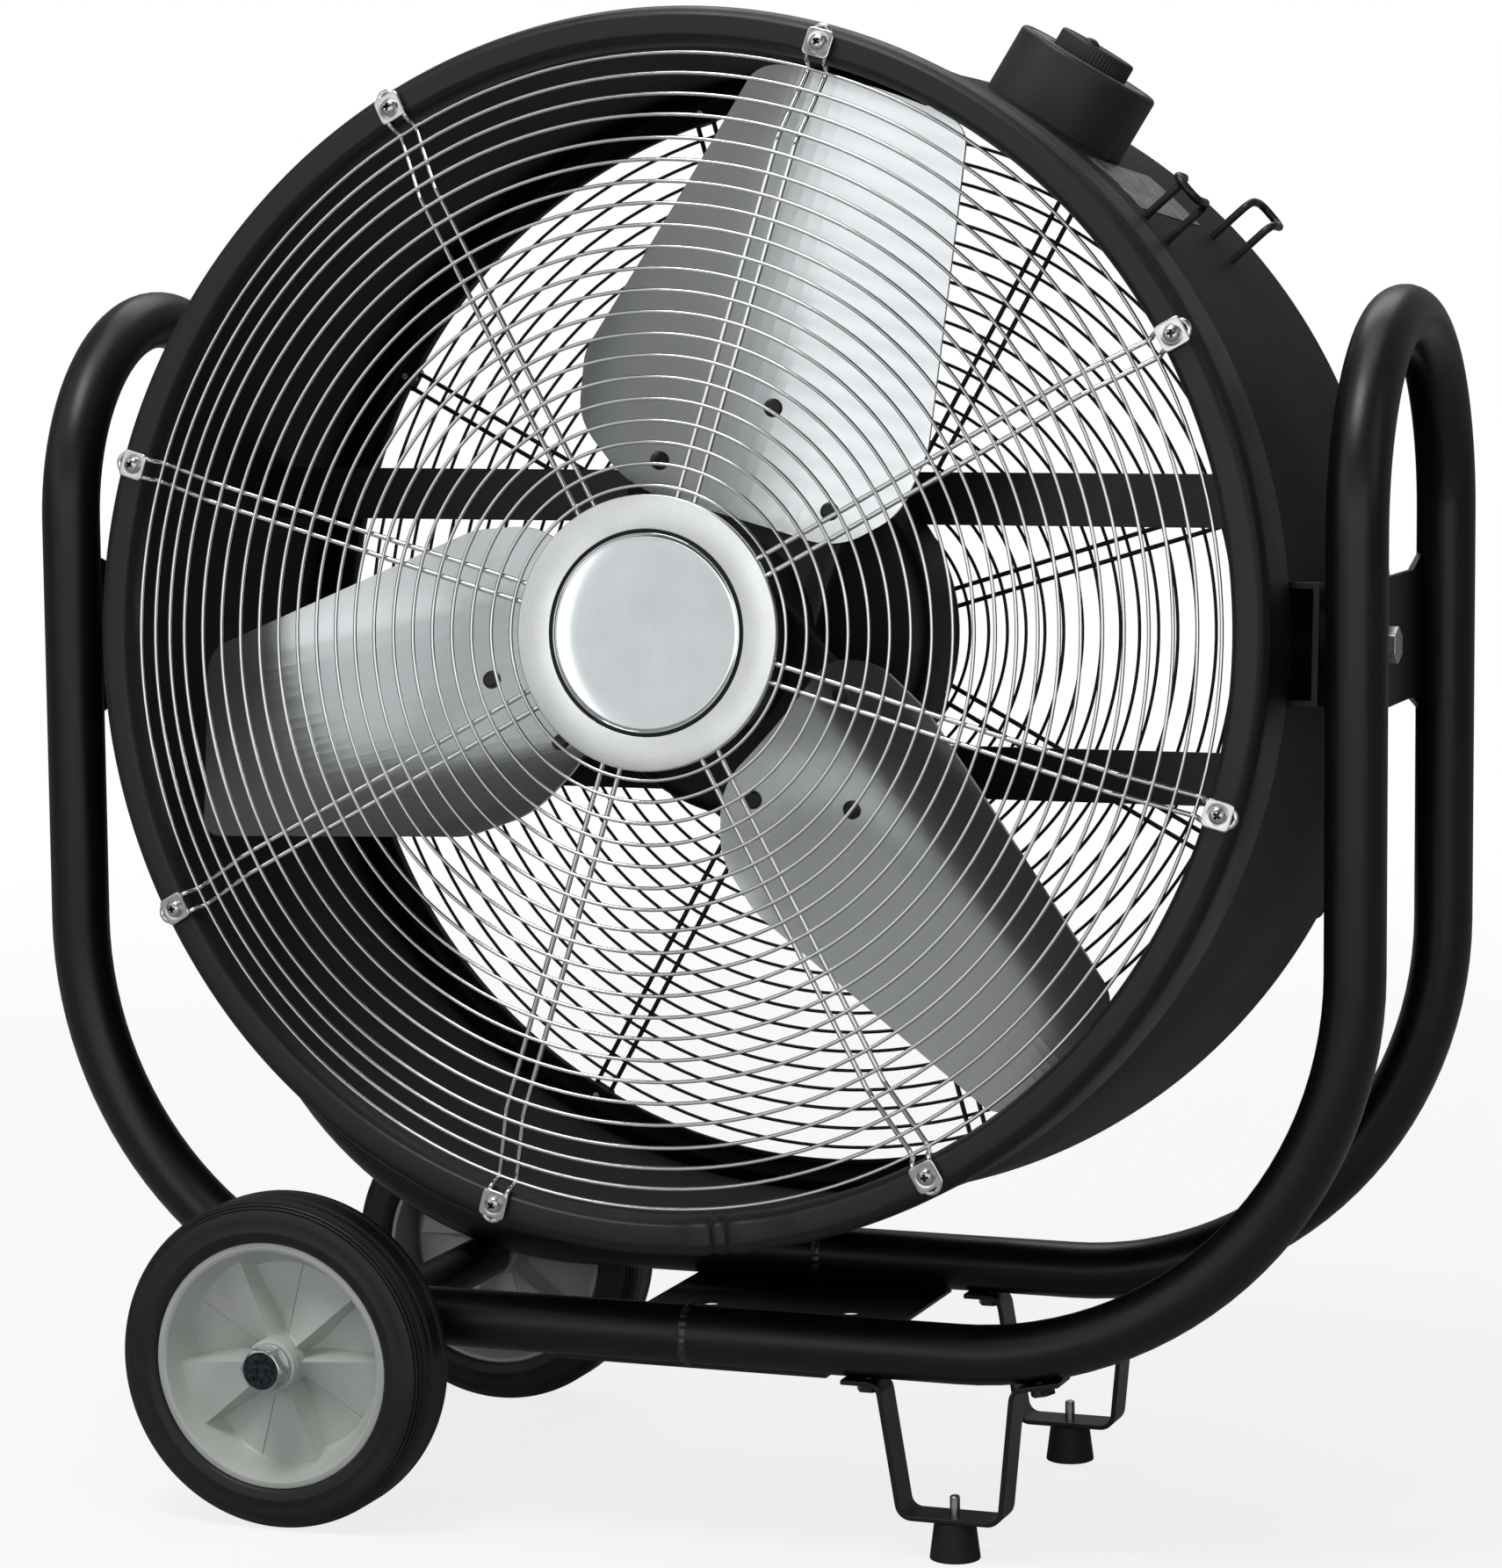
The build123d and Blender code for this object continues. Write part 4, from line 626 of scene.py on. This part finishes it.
def makeSheath():
    s = sheathSizes
    inner, outer = rimOutline(-1, s["thick"], 0), rimOutline(-1, 0, s["thick"], 14)
    s["outerStart"] = len(inner)
    piece = turned("rimSheath", inner + outer[::-1], s["around"], drumPlace, sheathRipple, 50)
    return finished(piece, "edgeSheath", "rim_sheath")


badge = {"radius": 79.0, "front": -180.7, "seat": -177.0, "wall": 1.5, "floor": 0.4, "discRadius": 57.0,
         "groove": 2.2, "lift": 0.5, "stem": 5.0, "stemEnd": -172.5, "hollow": 0.95, "hollowRadius": 55.0,
         "sealDrop": 1.2, "sealGap": 0.05, "around": 192,
         "hollowSteps": (0, 10, 20, 28, 34, 38, 41, 44, 46, 48, 50, 51.5, 53, 54, 55)}


def makeBadge():
    b = badge
    inside, back, floor = b["discRadius"] + b["groove"], b["front"] + b["wall"], b["seat"] - b["floor"]
    cup = roundedOutline([
        (inside, b["front"], 0.35), (b["radius"], b["front"], 1.0), (b["radius"], b["seat"], 0.3),
        (b["radius"] - b["wall"], b["seat"], 0.3), (b["radius"] - b["wall"], back, 0.6),
        (inside + b["groove"], back, 0), (inside + b["groove"], b["seat"], 0), (b["stem"], b["seat"], 0),
        (b["stem"], floor, 0), (inside, floor, 0)], 5)
    ring = turned("badgeRing", cup, b["around"], drumPlace, angle=50)
    finished(ring, "brushedRing", "badge_ring")
    face = b["front"] - b["lift"]
    # The disc's face turns up very slightly towards its border, which gives it its soft crescent.
    hollow = [(r, face + b["hollow"] * (1 - (r / b["hollowRadius"]) ** 5)) for r in b["hollowSteps"]]
    edge = roundedOutline([(56.0, face, 0.3), (b["discRadius"], face + 0.35, 0.3), (b["discRadius"], floor, 0.2)], 4)
    stem = [(b["stem"], floor), (b["stem"], b["stemEnd"]), (0, b["stemEnd"])]
    disc = turned("badgeDisc", hollow + [tuple(p) for p in edge] + stem, b["around"], drumPlace, angle=50)
    finished(disc, "buffedDisc", "badge_disc")
    # A dark seal lies deep in the groove between disc and ring.
    low, high, top = b["discRadius"] + b["sealGap"], inside - b["sealGap"], b["front"] + b["sealDrop"]
    seal = turned("badgeSeal", [(low, top), (high, top), (high, b["seat"] - 0.5), (low, b["seat"] - 0.5)],
                  b["around"], drumPlace)
    finished(seal, "footRubber", "badge_back_plate")


makeShell()
makeSheath()
makeBadge()
print("drum shell, sheath and badge made")


wheel = {"radius": 100.0, "half": 23.0, "shoulder": 12.0, "seat": 74.5, "edge": 2.0, "rib": 1.0, "around": 160}


def tyreOutline():
    w = wheel
    low = w["radius"] - w["shoulder"]
    side = [(w["seat"], w["half"] - w["edge"]), (w["seat"] + w["edge"], w["half"]), (80.0, w["half"]),
            (80.6, w["half"] + 0.35), (81.6, w["half"] + 0.35), (82.2, w["half"]), (low, w["half"])]
    # Fine ribs run round the shoulder and the edge of the tread.
    for a in np.arange(0, 90.1, 1.25):
        cut = max(0.0, math.sin(math.radians((a - 30) * 33.3))) * w["rib"] if 30 <= a <= 84 else 0.0
        reach = w["shoulder"] - cut
        c, s = math.cos(math.radians(a)), math.sin(math.radians(a))
        side.append((low + reach * s, w["half"] - w["shoulder"] + reach * c))
    for y in (9.6, 9.0, 8.4, 7.2, 6.6, 6.0):
        side.append((w["radius"] - (w["rib"] if y in (9.0, 6.6) else 0.0), y))
    return side


def makeTyre(name, node, place):
    side = tyreOutline()
    outline = side + [(r, -y) for r, y in side[::-1]]
    return finished(turned(name, outline, wheel["around"], place, angle=50), "tyreRubber", node)


# Each slant is (radius, how far a wall has leant there), both in millimetres.
hub = {"radius": 74.5, "half": 21.0, "mouth": 69.5, "draft": 11.0, "deep": 24.0, "raised": 11.5, "web": 3.0,
       "boss": 16.0, "bore": 11.0, "bossHalf": 21.0, "start": 4.0, "crease": 0.07, "creaseHalf": 0.6,
       "slants": ((16, 4.8), (27, 6.2), (60, 2.4))}

# Depth of each of the ten sectors at its first and last edge, counterclockwise from the front: 0 low, 1 raised.
sectorLevels = [(0, 0), (1, 0.5), (0.5, 0), (1, 0.5), (0.5, 0), (1, 1), (0, 0.5), (0.5, 1), (0, 0.5), (0.5, 1)]


def makeHub(name, node, place, columns=9):
    h = hub
    width = 360 / len(sectorLevels)
    tracks = []
    for index, (first, last) in enumerate(sectorLevels):
        before, after = sectorLevels[index - 1][1], sectorLevels[(index + 1) % len(sectorLevels)][0]
        for k in range(columns + 1):
            if k == columns and last == after:
                continue
            share = k / columns
            if k == 0 and before == first:
                # Two level sectors meet in a fine crease, where the halves of the mould's core met.
                at = h["start"] + index * width
                tracks += [(at - h["creaseHalf"], 0, first), (at, 0, first - h["crease"]),
                           (at + h["creaseHalf"], 0, first)]
                continue
            # A wall between two levels leans into the lower sector, further near the boss.
            shift = (1 - share) * (before > first) - share * (after > last)
            tracks.append((h["start"] + (index + share) * width, shift, first + (last - first) * share))
    angle = np.array([t[0] for t in tracks])[:, None]
    shift = np.array([t[1] for t in tracks])[:, None]
    level = h["deep"] - (h["deep"] - h["raised"]) * np.array([t[2] for t in tracks])[:, None]
    throat = h["mouth"] - h["draft"] * level / h["deep"]
    front, back, boss, web, radius = -h["half"], h["half"], h["boss"], h["web"], h["radius"]
    # Each row is (radius, depth), a number or one value for each track: the boss with its groove, the sectors,
    # the wall up to the mouth, the rim, and the same way back behind the web.
    rows = [(h["bore"], front), (boss - 1.2, front), (boss - 0.35, front + 0.35), (boss, front + 1.2),
            (boss, front + 3.0), (boss - 1.0, front + 3.5), (boss - 1.0, front + 4.5), (boss, front + 5.0),
            (boss, front + level - 1.0), (boss + 0.8, front + level)]
    rows += [(boss + 0.8 + (throat - boss - 1.4) * share, front + level)
             for share in (0.05, 0.15, 0.3, 0.5, 0.7, 0.85, 1.0)]
    rows += [(throat + 0.35, front + level - 1.0)]
    rows += [(throat + (h["mouth"] - throat) * share, front + level * (1 - share)) for share in (0.3, 0.6, 0.95)]
    rows += [(h["mouth"] + 0.4, front + 0.5), (h["mouth"] + 1.3, front), (radius - 1.2, front),
             (radius - 0.35, front + 0.35), (radius, front + 1.2), (radius, back - 1), (radius - 1, back),
             (radius - web, back), (radius - web, front + web + 2), (throat + web, front + level),
             (throat + 0.3, front + level + web)]
    rows += [(boss + (throat - boss) * share, front + level + web)
             for share in (0.85, 0.7, 0.5, 0.3, 0.15, 0.05, 0.0)]
    rows += [(boss, h["bossHalf"] - 1), (boss - 1, h["bossHalf"]), (h["bore"], h["bossHalf"])]
    spots = []
    for reach, depth in rows:
        reach, depth = reach * np.ones_like(level), depth * np.ones_like(level)
        a = np.radians(angle) + shift * (np.interp(reach, *zip(*h["slants"])) / np.maximum(reach, boss))
        spots.append(np.hstack([reach * np.cos(a), depth, reach * np.sin(a)]) * mm)
    piece = closedUp(newPiece(name, np.vstack(spots), ringFaces(len(rows), len(tracks))), 24)
    piece.data.transform(place)
    rounded(piece, 0.35, 28)
    return finished(piece, "hubPlastic", node)


def wheelPlace(label):
    low, high = (Vector(c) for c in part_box("tyre_" + label))
    turn = Matrix.Rotation(math.pi if label == "rear" else 0, 4, "Z")
    return Matrix.Translation((low + high) / 2) @ turn


for label in ("front", "rear"):
    makeTyre(label + "Tyre", "tyre_" + label, wheelPlace(label))
    makeHub(label + "Hub", "hub_" + label, wheelPlace(label))
print("wheels made")


strap = {"thick": 3.0, "half": 12.5, "bend": 6.0, "tight": 7.0, "middle": 119.5,
         "line": ((97, 103.5), (121, 103.5), (134, 26), (192, 26), (199.6, 105.34), (228.72, 111.24))}


def makeBrackets():
    # Flat bar bent over a former: flange, leg, bottom, leg and flange. Its bends keep the bar's thickness.
    s = strap
    line = [Vector(p) for p in s["line"]]
    runs = [(b - a).normalized() for a, b in zip(line, line[1:])]
    sides = [Vector((run.y, -run.x)) for run in runs]
    outer = [line[0] + sides[0] * s["thick"]]
    for spot, first, last in zip(line[1:], sides, sides[1:]):
        middle = (first + last).normalized()
        outer.append(spot + middle * (s["thick"] / middle.dot(first)))
    outer.append(line[-1] + sides[-1] * s["thick"])
    small, large = (0, s["bend"], s["tight"] + s["thick"]), (0, s["bend"] + s["thick"], s["tight"])
    top = [(p.x, p.y, large[k]) for p, k in zip(line, (0, 1, 2, 2, 1, 0))]
    under = [(p.x, p.y, small[k]) for p, k in zip(outer, (0, 1, 2, 2, 1, 0))]
    outline = roundedOutline(top + under[::-1], 7)
    count = len(outline)
    spots, faces = [], []
    for place in (-s["middle"], s["middle"]):
        base = len(spots)
        for y in (place - s["half"], place + s["half"]):
            spots += [(p.x * mm, y * mm, p.y * mm) for p in outline]
        faces += [tuple(range(base, base + count)), tuple(range(base + 2 * count - 1, base + count - 1, -1))]
        faces += [(base + i, base + count + i, base + count + (i + 1) % count, base + (i + 1) % count)
                  for i in range(count)]
    piece = closedUp(newPiece("footStraps", spots, faces), 40)
    return finished(rounded(piece, 0.7, 50), "powderCoat", "foot_brackets")


hook = {"angle": 41.3, "wire": 2.4, "half": 9.5, "foot": 353.0, "top": 386.6, "bend": 7.0, "lip": 25.0,
        "places": ((-76.0, -1), (75.0, 1))}


def makeHooks(ends):
    # Dipped wire, bent up on two legs and turned over into a lip.
    h = hook
    spots, edgeRows = [], []
    for y, way in ends:
        base, tip = len(spots), y + way * h["lip"]
        spots += [(r * mm, d * mm, z * mm) for r, d, z in (
            (h["foot"], y, -h["half"]), (h["top"], y, -h["half"]), (h["top"], tip, -h["half"]),
            (h["top"], tip, h["half"]), (h["top"], y, h["half"]), (h["foot"], y, h["half"]))]
        edgeRows += [(base + i, base + i + 1) for i in range(5)]
    piece = newPiece("cordHooks", spots, [], edgeRows)
    runTree(piece, wireTree, {"Bend Radius": h["bend"] * mm, "Wire Radius": h["wire"] * mm, "Sides": 14,
                              "Material": materials["wireDip"]})
    piece.data.transform(drumPlace @ Matrix.Rotation(-math.radians(h["angle"]), 4, "Y"))
    return finished(piece, "wireDip", "cord_hooks")


weld = {"radius": 17.5, "bead": 0.9, "half": 2.4, "height": 121.0, "sunk": 0.6, "around": 120,
        "places": (("front", -119.5), ("rear", 119.5))}


def makeButtWeld(name, x, y):
    # The ground weld where the two halves of the frame meet, with a slightly uneven bead.
    w = weld
    shoulder = w["radius"] + w["bead"] * 0.7
    outline = [(w["radius"] - w["sunk"], -w["half"]), (w["radius"] + 0.02, -w["half"]),
               (shoulder, -w["half"] * 0.5), (w["radius"] + w["bead"], 0), (shoulder, w["half"] * 0.5),
               (w["radius"] + 0.02, w["half"]), (w["radius"] - w["sunk"], w["half"])]

    def uneven(angles, radius, depth):
        beads = 1 + 0.6 * np.sin(angles * 23) * np.sin(angles * 3 + 1)
        rise = np.maximum(radius - w["radius"], 0)
        return radius - rise + rise * beads, depth + 0.25 * np.sin(angles * 7)

    place = Matrix.Translation(Vector((x, y, w["height"])) * mm) @ Matrix.Rotation(math.radians(90), 4, "Z")
    # The weld's lighter coat is a painted glint on the bead.
    return finished(turned(name, outline, w["around"], place, uneven), "weldCoatWithPaintedGlint", "frame_half_right")


def knobLine():
    # Where the knob's axis starts, and which way it points.
    joint = jointOf["speed_knob_turn"]
    return Vector(joint["pos_m"]), Vector(joint["axis"]).normalized()


def heightsAlong(node, foot, axis):
    return [(v.co - foot).dot(axis) / mm for v in nodes[node].data.vertices]


knob = {"radius": 24.0, "bore": 3.2, "blind": 9.0, "crown": 1.8, "ribs": 64, "rib": 0.55, "pointer": 5.0,
        "pointerRise": 3.0, "pointerSunk": 0.7, "around": 512}


def makeKnob():
    # Moulded knob with fine ribs that run out towards its rounded top edge, and a small domed pointer.
    k = knob
    foot, axis = knobLine()
    heights = heightsAlong("speed_knob", foot, axis)
    base, top = min(heights), max(heights) - k["pointerRise"]
    tips = [v.co - foot for v, height in zip(nodes["speed_knob"].data.vertices, heights) if height > top + 1]
    away = sum(tips, Vector()) / len(tips)
    away -= axis * away.dot(axis)
    across = away.normalized()
    turn = Matrix((across, axis, across.cross(axis))).transposed().to_4x4()
    outline = roundedOutline([
        (k["bore"], base, 0), (k["radius"], base, 0.5), (k["radius"], base + 4, 0), (k["radius"], top, k["crown"]),
        (k["radius"] * 0.72, top, 0), (k["radius"] * 0.66, top - 0.5, 0), (0, top - 0.5, 0),
        (0, base + k["blind"], 0), (k["bore"], base + k["blind"], 0)], 5)

    def ribbed(angles, radius, depth):
        fade = np.clip((top - 1.0 - depth) / 1.5, 0, 1) * (radius > k["radius"] - 2)
        return radius - k["rib"] * (0.5 - 0.5 * np.cos(angles * k["ribs"])) * fade, depth

    place = Matrix.Translation(foot) @ turn
    piece = turned("speedKnob", [tuple(p) for p in outline], k["around"], place, ribbed, 40)
    tip, sunk = top + k["pointerRise"], top - k["pointerSunk"]
    dome = [(0, tip)] + [(k["pointer"] * math.sin(a), top + k["pointerRise"] * math.cos(a))
                         for a in np.linspace(0.2, math.pi / 2, 8)] + [(k["pointer"], sunk), (0, sunk)]
    shift = Matrix.Translation((away.length, 0, 0))
    pointer = turned("speedKnobPointer", dome, 48, place @ shift, angle=40)
    finished(pointer, "housingAbs", "speed_knob")
    return finished(piece, "housingAbs", "speed_knob")


bezel = {"inner": 25.5, "outer": 39.6, "under": 1.0, "rise": 0.35, "around": 128}


def makeBezel():
    # Smooth grey ring that fills the recess round the knob, just below the rim of the housing.
    z = bezel
    foot, axis = knobLine()
    base, rim = min(heightsAlong("speed_knob", foot, axis)), max(heightsAlong("control_housing", foot, axis))
    place = Matrix.Translation(foot) @ Vector((0, 1, 0)).rotation_difference(axis).to_matrix().to_4x4()
    outline = roundedOutline([(z["inner"], base - z["under"], 0), (z["outer"], base - z["under"], 0),
                              (z["outer"], rim - z["rise"], 0.3), (z["inner"] + 2.5, rim - z["rise"], 0.6),
                              (z["inner"], rim - z["rise"] - 1.2, 0.3)], 4)
    ring = turned("controlBezel", [tuple(p) for p in outline], z["around"], place, angle=40)
    return finished(ring, "faceAbs", "control_face")


makeKnob()
makeBezel()
makeBrackets()
makeHooks(hook["places"])
for label, y in weld["places"]:
    makeButtWeld(label + "ButtWeld", 0.0, y)
print("knob, brackets, hooks and welds made")


axleNut = {"face": 11.3, "corner": 14.2, "fall": 1.5, "clear": 30.0}


def makeAxleNuts():
    # Hex nuts whose corners are turned off at the face. The flat faces take the dark smoky zinc and the sides and
    # chamfer the bright zinc, chosen by which way each face points: painted shade on the faces and a painted
    # highlight on the chamfer.
    n = axleNut
    piece = dressed("axle_nuts", "smokedZinc", 0)
    low, high = (Vector(c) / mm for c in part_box("axle_nuts"))
    reach = (high.y - low.y) / 2
    middle = (low + high) / 2
    outline = [(0, -reach - 0.01), (n["face"], -reach - 0.01), (n["corner"], n["fall"] - reach),
               (n["clear"], n["fall"] - reach), (n["clear"], reach - n["fall"]), (n["corner"], reach - n["fall"]),
               (n["face"], reach + 0.01), (0, reach + 0.01)]
    cone = turned("axleNuts.cone", outline, 96, Matrix.Translation(middle * mm), angle=20)
    cut = piece.modifiers.new("chamfer", "BOOLEAN")
    cut.operation, cut.solver, cut.object = "INTERSECT", "EXACT", cone
    settle(piece)
    bpy.data.objects.remove(cone)
    rounded(piece, 0.25, 20)
    piece.data.materials.clear()
    piece.data.materials.append(materials["smokedZinc"])
    piece.data.materials.append(materials["zinc"])
    # Painted shade and highlight: faces that point along the axle get the dark zinc, all others the bright zinc.
    for face in piece.data.polygons:
        face.material_index = 0 if abs(face.normal.y) > 0.95 else 1


makeAxleNuts()


# Finish and edge radius in millimetres of each piece that keeps its CAD shape.
edges = {
    "frame_half_left": ("powderCoat", 0), "frame_half_right": ("powderCoat", 0), "joint_sleeves": ("powderCoat", 0),
    "side_plates": ("powderCoat", 0.7), "base_plate": ("powderCoat", 0.5), "axle_tube": ("powderCoat", 0.5),
    "axle_plugs": ("nylon", 0), "axle_rod": ("zinc", 0.4), "axle_spacers": ("zinc", 0.3),
    "bracket_bolts": ("smokedZinc", 1.4), "rubber_feet": ("footRubber", 0.9), "foot_studs": ("zinc", 1.2),
    "bush_front": ("nylon", 0), "bush_rear": ("nylon", 0), "rear_centre_plate": ("wireDip", 0.5),
    "badge_back_plate": ("wireDip", 0.4), "struts": ("powderCoat", 0.8), "strut_bolts": ("zinc", 0.5),
    "motor_housing": ("castCoat", 1.0), "motor_end_cap": ("castCoat", 1.0), "motor_bearings": ("zinc", 0.3),
    "motor_stator": ("ironStack", 0), "capacitor": ("phenolic", 1.5), "pivot_channels": ("powderCoat", 0.7),
    "pivot_bolts": ("zinc", 0.7), "pivot_nuts": ("zinc", 0.5), "pivot_spacers": ("nylon", 0.4),
    "pivot_washers": ("zinc", 0.3), "rating_plate": ("plateFoil", 0), "control_housing": ("housingAbs", 0.8),
    "control_face": ("faceAbs", 0.4), "rotary_switch": ("phenolic", 0.5), "cable_gland": ("housingAbs", 0.6),
    "fan_spider": ("castCoat", 1.0), "blade_1": ("millAluminium", 0.5), "blade_2": ("millAluminium", 0.5),
    "blade_3": ("millAluminium", 0.5), "blade_bolts": ("oxideBlack", 0.9), "fan_shaft": ("zinc", 0.5),
    "motor_rotor": ("ironStack", 0), "shaft_nut": ("zinc", 0.6), "knob_spindle": ("zinc", 0.3),
}
for node, (finish, width) in edges.items():
    dressed(node, finish, width)
print("pieces with rounded edges made:", len(edges))


stageSizes = {"floorReach": 30.0, "floorWhite": "F6F6F5", "floorGrey": "909090", "mirrored": 0.12, "nearGlow": 0.82,
              "fadeFrom": 0.9, "fadeTo": 3.2}


def seenDirectly(tree, path):
    # One for a ray that comes straight from the camera or through glass.
    return addMath(tree, "MAXIMUM", path["Is Camera Ray"], path["Is Transmission Ray"])


def makeFloor():
    # Pale near the object, where it takes the shadow, and white further out, so that it has no edge.
    # It bounces less light than it shows, so that the black paint stays black.
    s = stageSizes
    reach = s["floorReach"]
    floor = newPiece("studioFloor", [(-reach, -reach, 0), (reach, -reach, 0), (reach, reach, 0), (-reach, reach, 0)],
                     [(0, 1, 2, 3)])
    material, tree, coords = newMaterial("matt_white_studio_floor")
    path = addNode(tree, "ShaderNodeLightPath").outputs
    away = addNode(tree, "ShaderNodeVectorMath", {"operation": "LENGTH"}, {0: coords}).outputs["Value"]
    glow = addFlow(tree, "ShaderNodeMapRange", {
        "From Min": s["fadeFrom"], "From Max": s["fadeTo"], "To Min": s["nearGlow"], "To Max": 1.0,
        "interpolation_type": "SMOOTHSTEP"}, {"Value": away})
    direct = seenDirectly(tree, path)
    mirrored = addMath(tree, "MULTIPLY", path["Is Glossy Ray"], s["mirrored"])
    share = addMath(tree, "MULTIPLY", addMath(tree, "MAXIMUM", direct, mirrored), glow)
    pale = addFlow(tree, "ShaderNodeBsdfDiffuse", {"Color": linear(s["floorWhite"])})
    grey = addFlow(tree, "ShaderNodeBsdfDiffuse", {"Color": linear(s["floorGrey"])})
    diffuse = addFlow(tree, "ShaderNodeMixShader", links={0: direct, 1: grey, 2: pale})
    white = addFlow(tree, "ShaderNodeEmission", {"Color": (1, 1, 1, 1), "Strength": 1.0})
    finishMaterial(tree, addFlow(tree, "ShaderNodeMixShader", links={0: share, 1: diffuse, 2: white}))
    floor.data.materials.append(material)


worldSizes = {"soft": 0.09, "backdropFrom": 0.0, "backdropTo": 0.6, "mirrored": 0.15}


def makeWorld():
    # A white backdrop stands behind the object, and the rest of the room is dim.
    world = bpy.data.worlds.new("studioWorld")
    scene.world = world
    world.use_nodes = True
    tree = world.node_tree
    tree.nodes.clear()
    path = addNode(tree, "ShaderNodeLightPath").outputs
    outward = addNode(tree, "ShaderNodeTexCoord").outputs["Generated"]
    parts = addNode(tree, "ShaderNodeSeparateXYZ", links={0: outward})
    behind = addFlow(tree, "ShaderNodeMapRange", {
        "From Min": worldSizes["backdropFrom"], "From Max": worldSizes["backdropTo"], "To Min": 0.0, "To Max": 1.0,
        "interpolation_type": "SMOOTHSTEP"}, {"Value": parts.outputs["Y"]})
    share = addMath(tree, "MULTIPLY", behind, worldSizes["mirrored"])
    mirrored = addMath(tree, "MULTIPLY", path["Is Glossy Ray"], share)
    seen = addMath(tree, "MAXIMUM", mirrored, seenDirectly(tree, path))
    soft = addFlow(tree, "ShaderNodeBackground", {"Color": (1, 1, 1, 1), "Strength": worldSizes["soft"]})
    white = addFlow(tree, "ShaderNodeBackground", {"Color": (1, 1, 1, 1), "Strength": 1.0})
    mix = addFlow(tree, "ShaderNodeMixShader", links={0: seen, 1: soft, 2: white})
    addNode(tree, "ShaderNodeOutputWorld", links={"Surface": mix})


softboxes = {
    # name: place, aimed at, width, height, power in watts
    "frontPanel": ((1.31, -4.41, 1.12), (0, 0, 0.6), 6.1, 2.16, 57),
    "sidePanel": ((-2.38, -3.9, 1.3), (0, 0, 0.6), 2.9, 2.2, 15),
    "leftPanel": ((-2.6, -1.6, 2.6), (0, 0, 0.5), 3.4, 2.9, 19),
    "keyBox": ((-0.4, -1.5, 3.5), (0, 0, 0.5), 1.3, 1.1, 56),
    "rightBox": ((3.2, -0.9, 2.2), (0, 0, 0.5), 1.4, 2.2, 8),
    "topBox": ((0.0, 0.1, 3.7), (0, 0, 0.5), 2.0, 1.4, 16),
    "backBox": ((-0.5, 2.4, 3.4), (0, 0, 0.5), 2.6, 1.6, 30),
}


def makeLights():
    for name, (place, aim, width, height, power) in softboxes.items():
        lamp = bpy.data.lights.new(name, "AREA")
        lamp.shape = "RECTANGLE"
        lamp.size, lamp.size_y, lamp.energy = width, height, power
        box = bpy.data.objects.new(name, lamp)
        box.location = place
        box.rotation_euler = (Vector(aim) - Vector(place)).to_track_quat("-Z", "Y").to_euler()
        scene.collection.objects.link(box)


cameraSizes = {"place": (0.9726, -2.6678, 0.7527), "azimuth": 20.08, "pitch": 6.24, "roll": -0.52,
               "lens": 108.17, "sensor": 36.0, "shiftUp": -14 / 1785}


def makeCamera():
    c = cameraSizes
    a, e, r = (math.radians(c[k]) for k in ("azimuth", "pitch", "roll"))
    forward = Vector((-math.sin(a) * math.cos(e), math.cos(a) * math.cos(e), -math.sin(e)))
    level = Vector((math.cos(a), math.sin(a), 0))
    plumb = level.cross(forward)
    right = level * math.cos(r) + plumb * math.sin(r)
    up = plumb * math.cos(r) - level * math.sin(r)
    data = bpy.data.cameras.new("photoCamera")
    data.lens, data.sensor_width, data.shift_y, data.clip_end = c["lens"], c["sensor"], c["shiftUp"], 100
    camera = bpy.data.objects.new("photoCamera", data)
    camera.matrix_world = Matrix.Translation(Vector(c["place"])) @ Matrix((right, up, -forward)).transposed().to_4x4()
    scene.collection.objects.link(camera)
    scene.camera = camera


makeFloor()
makeWorld()
makeLights()
makeCamera()
scene.view_settings.view_transform = "Standard"
print("stage, lights and camera set")
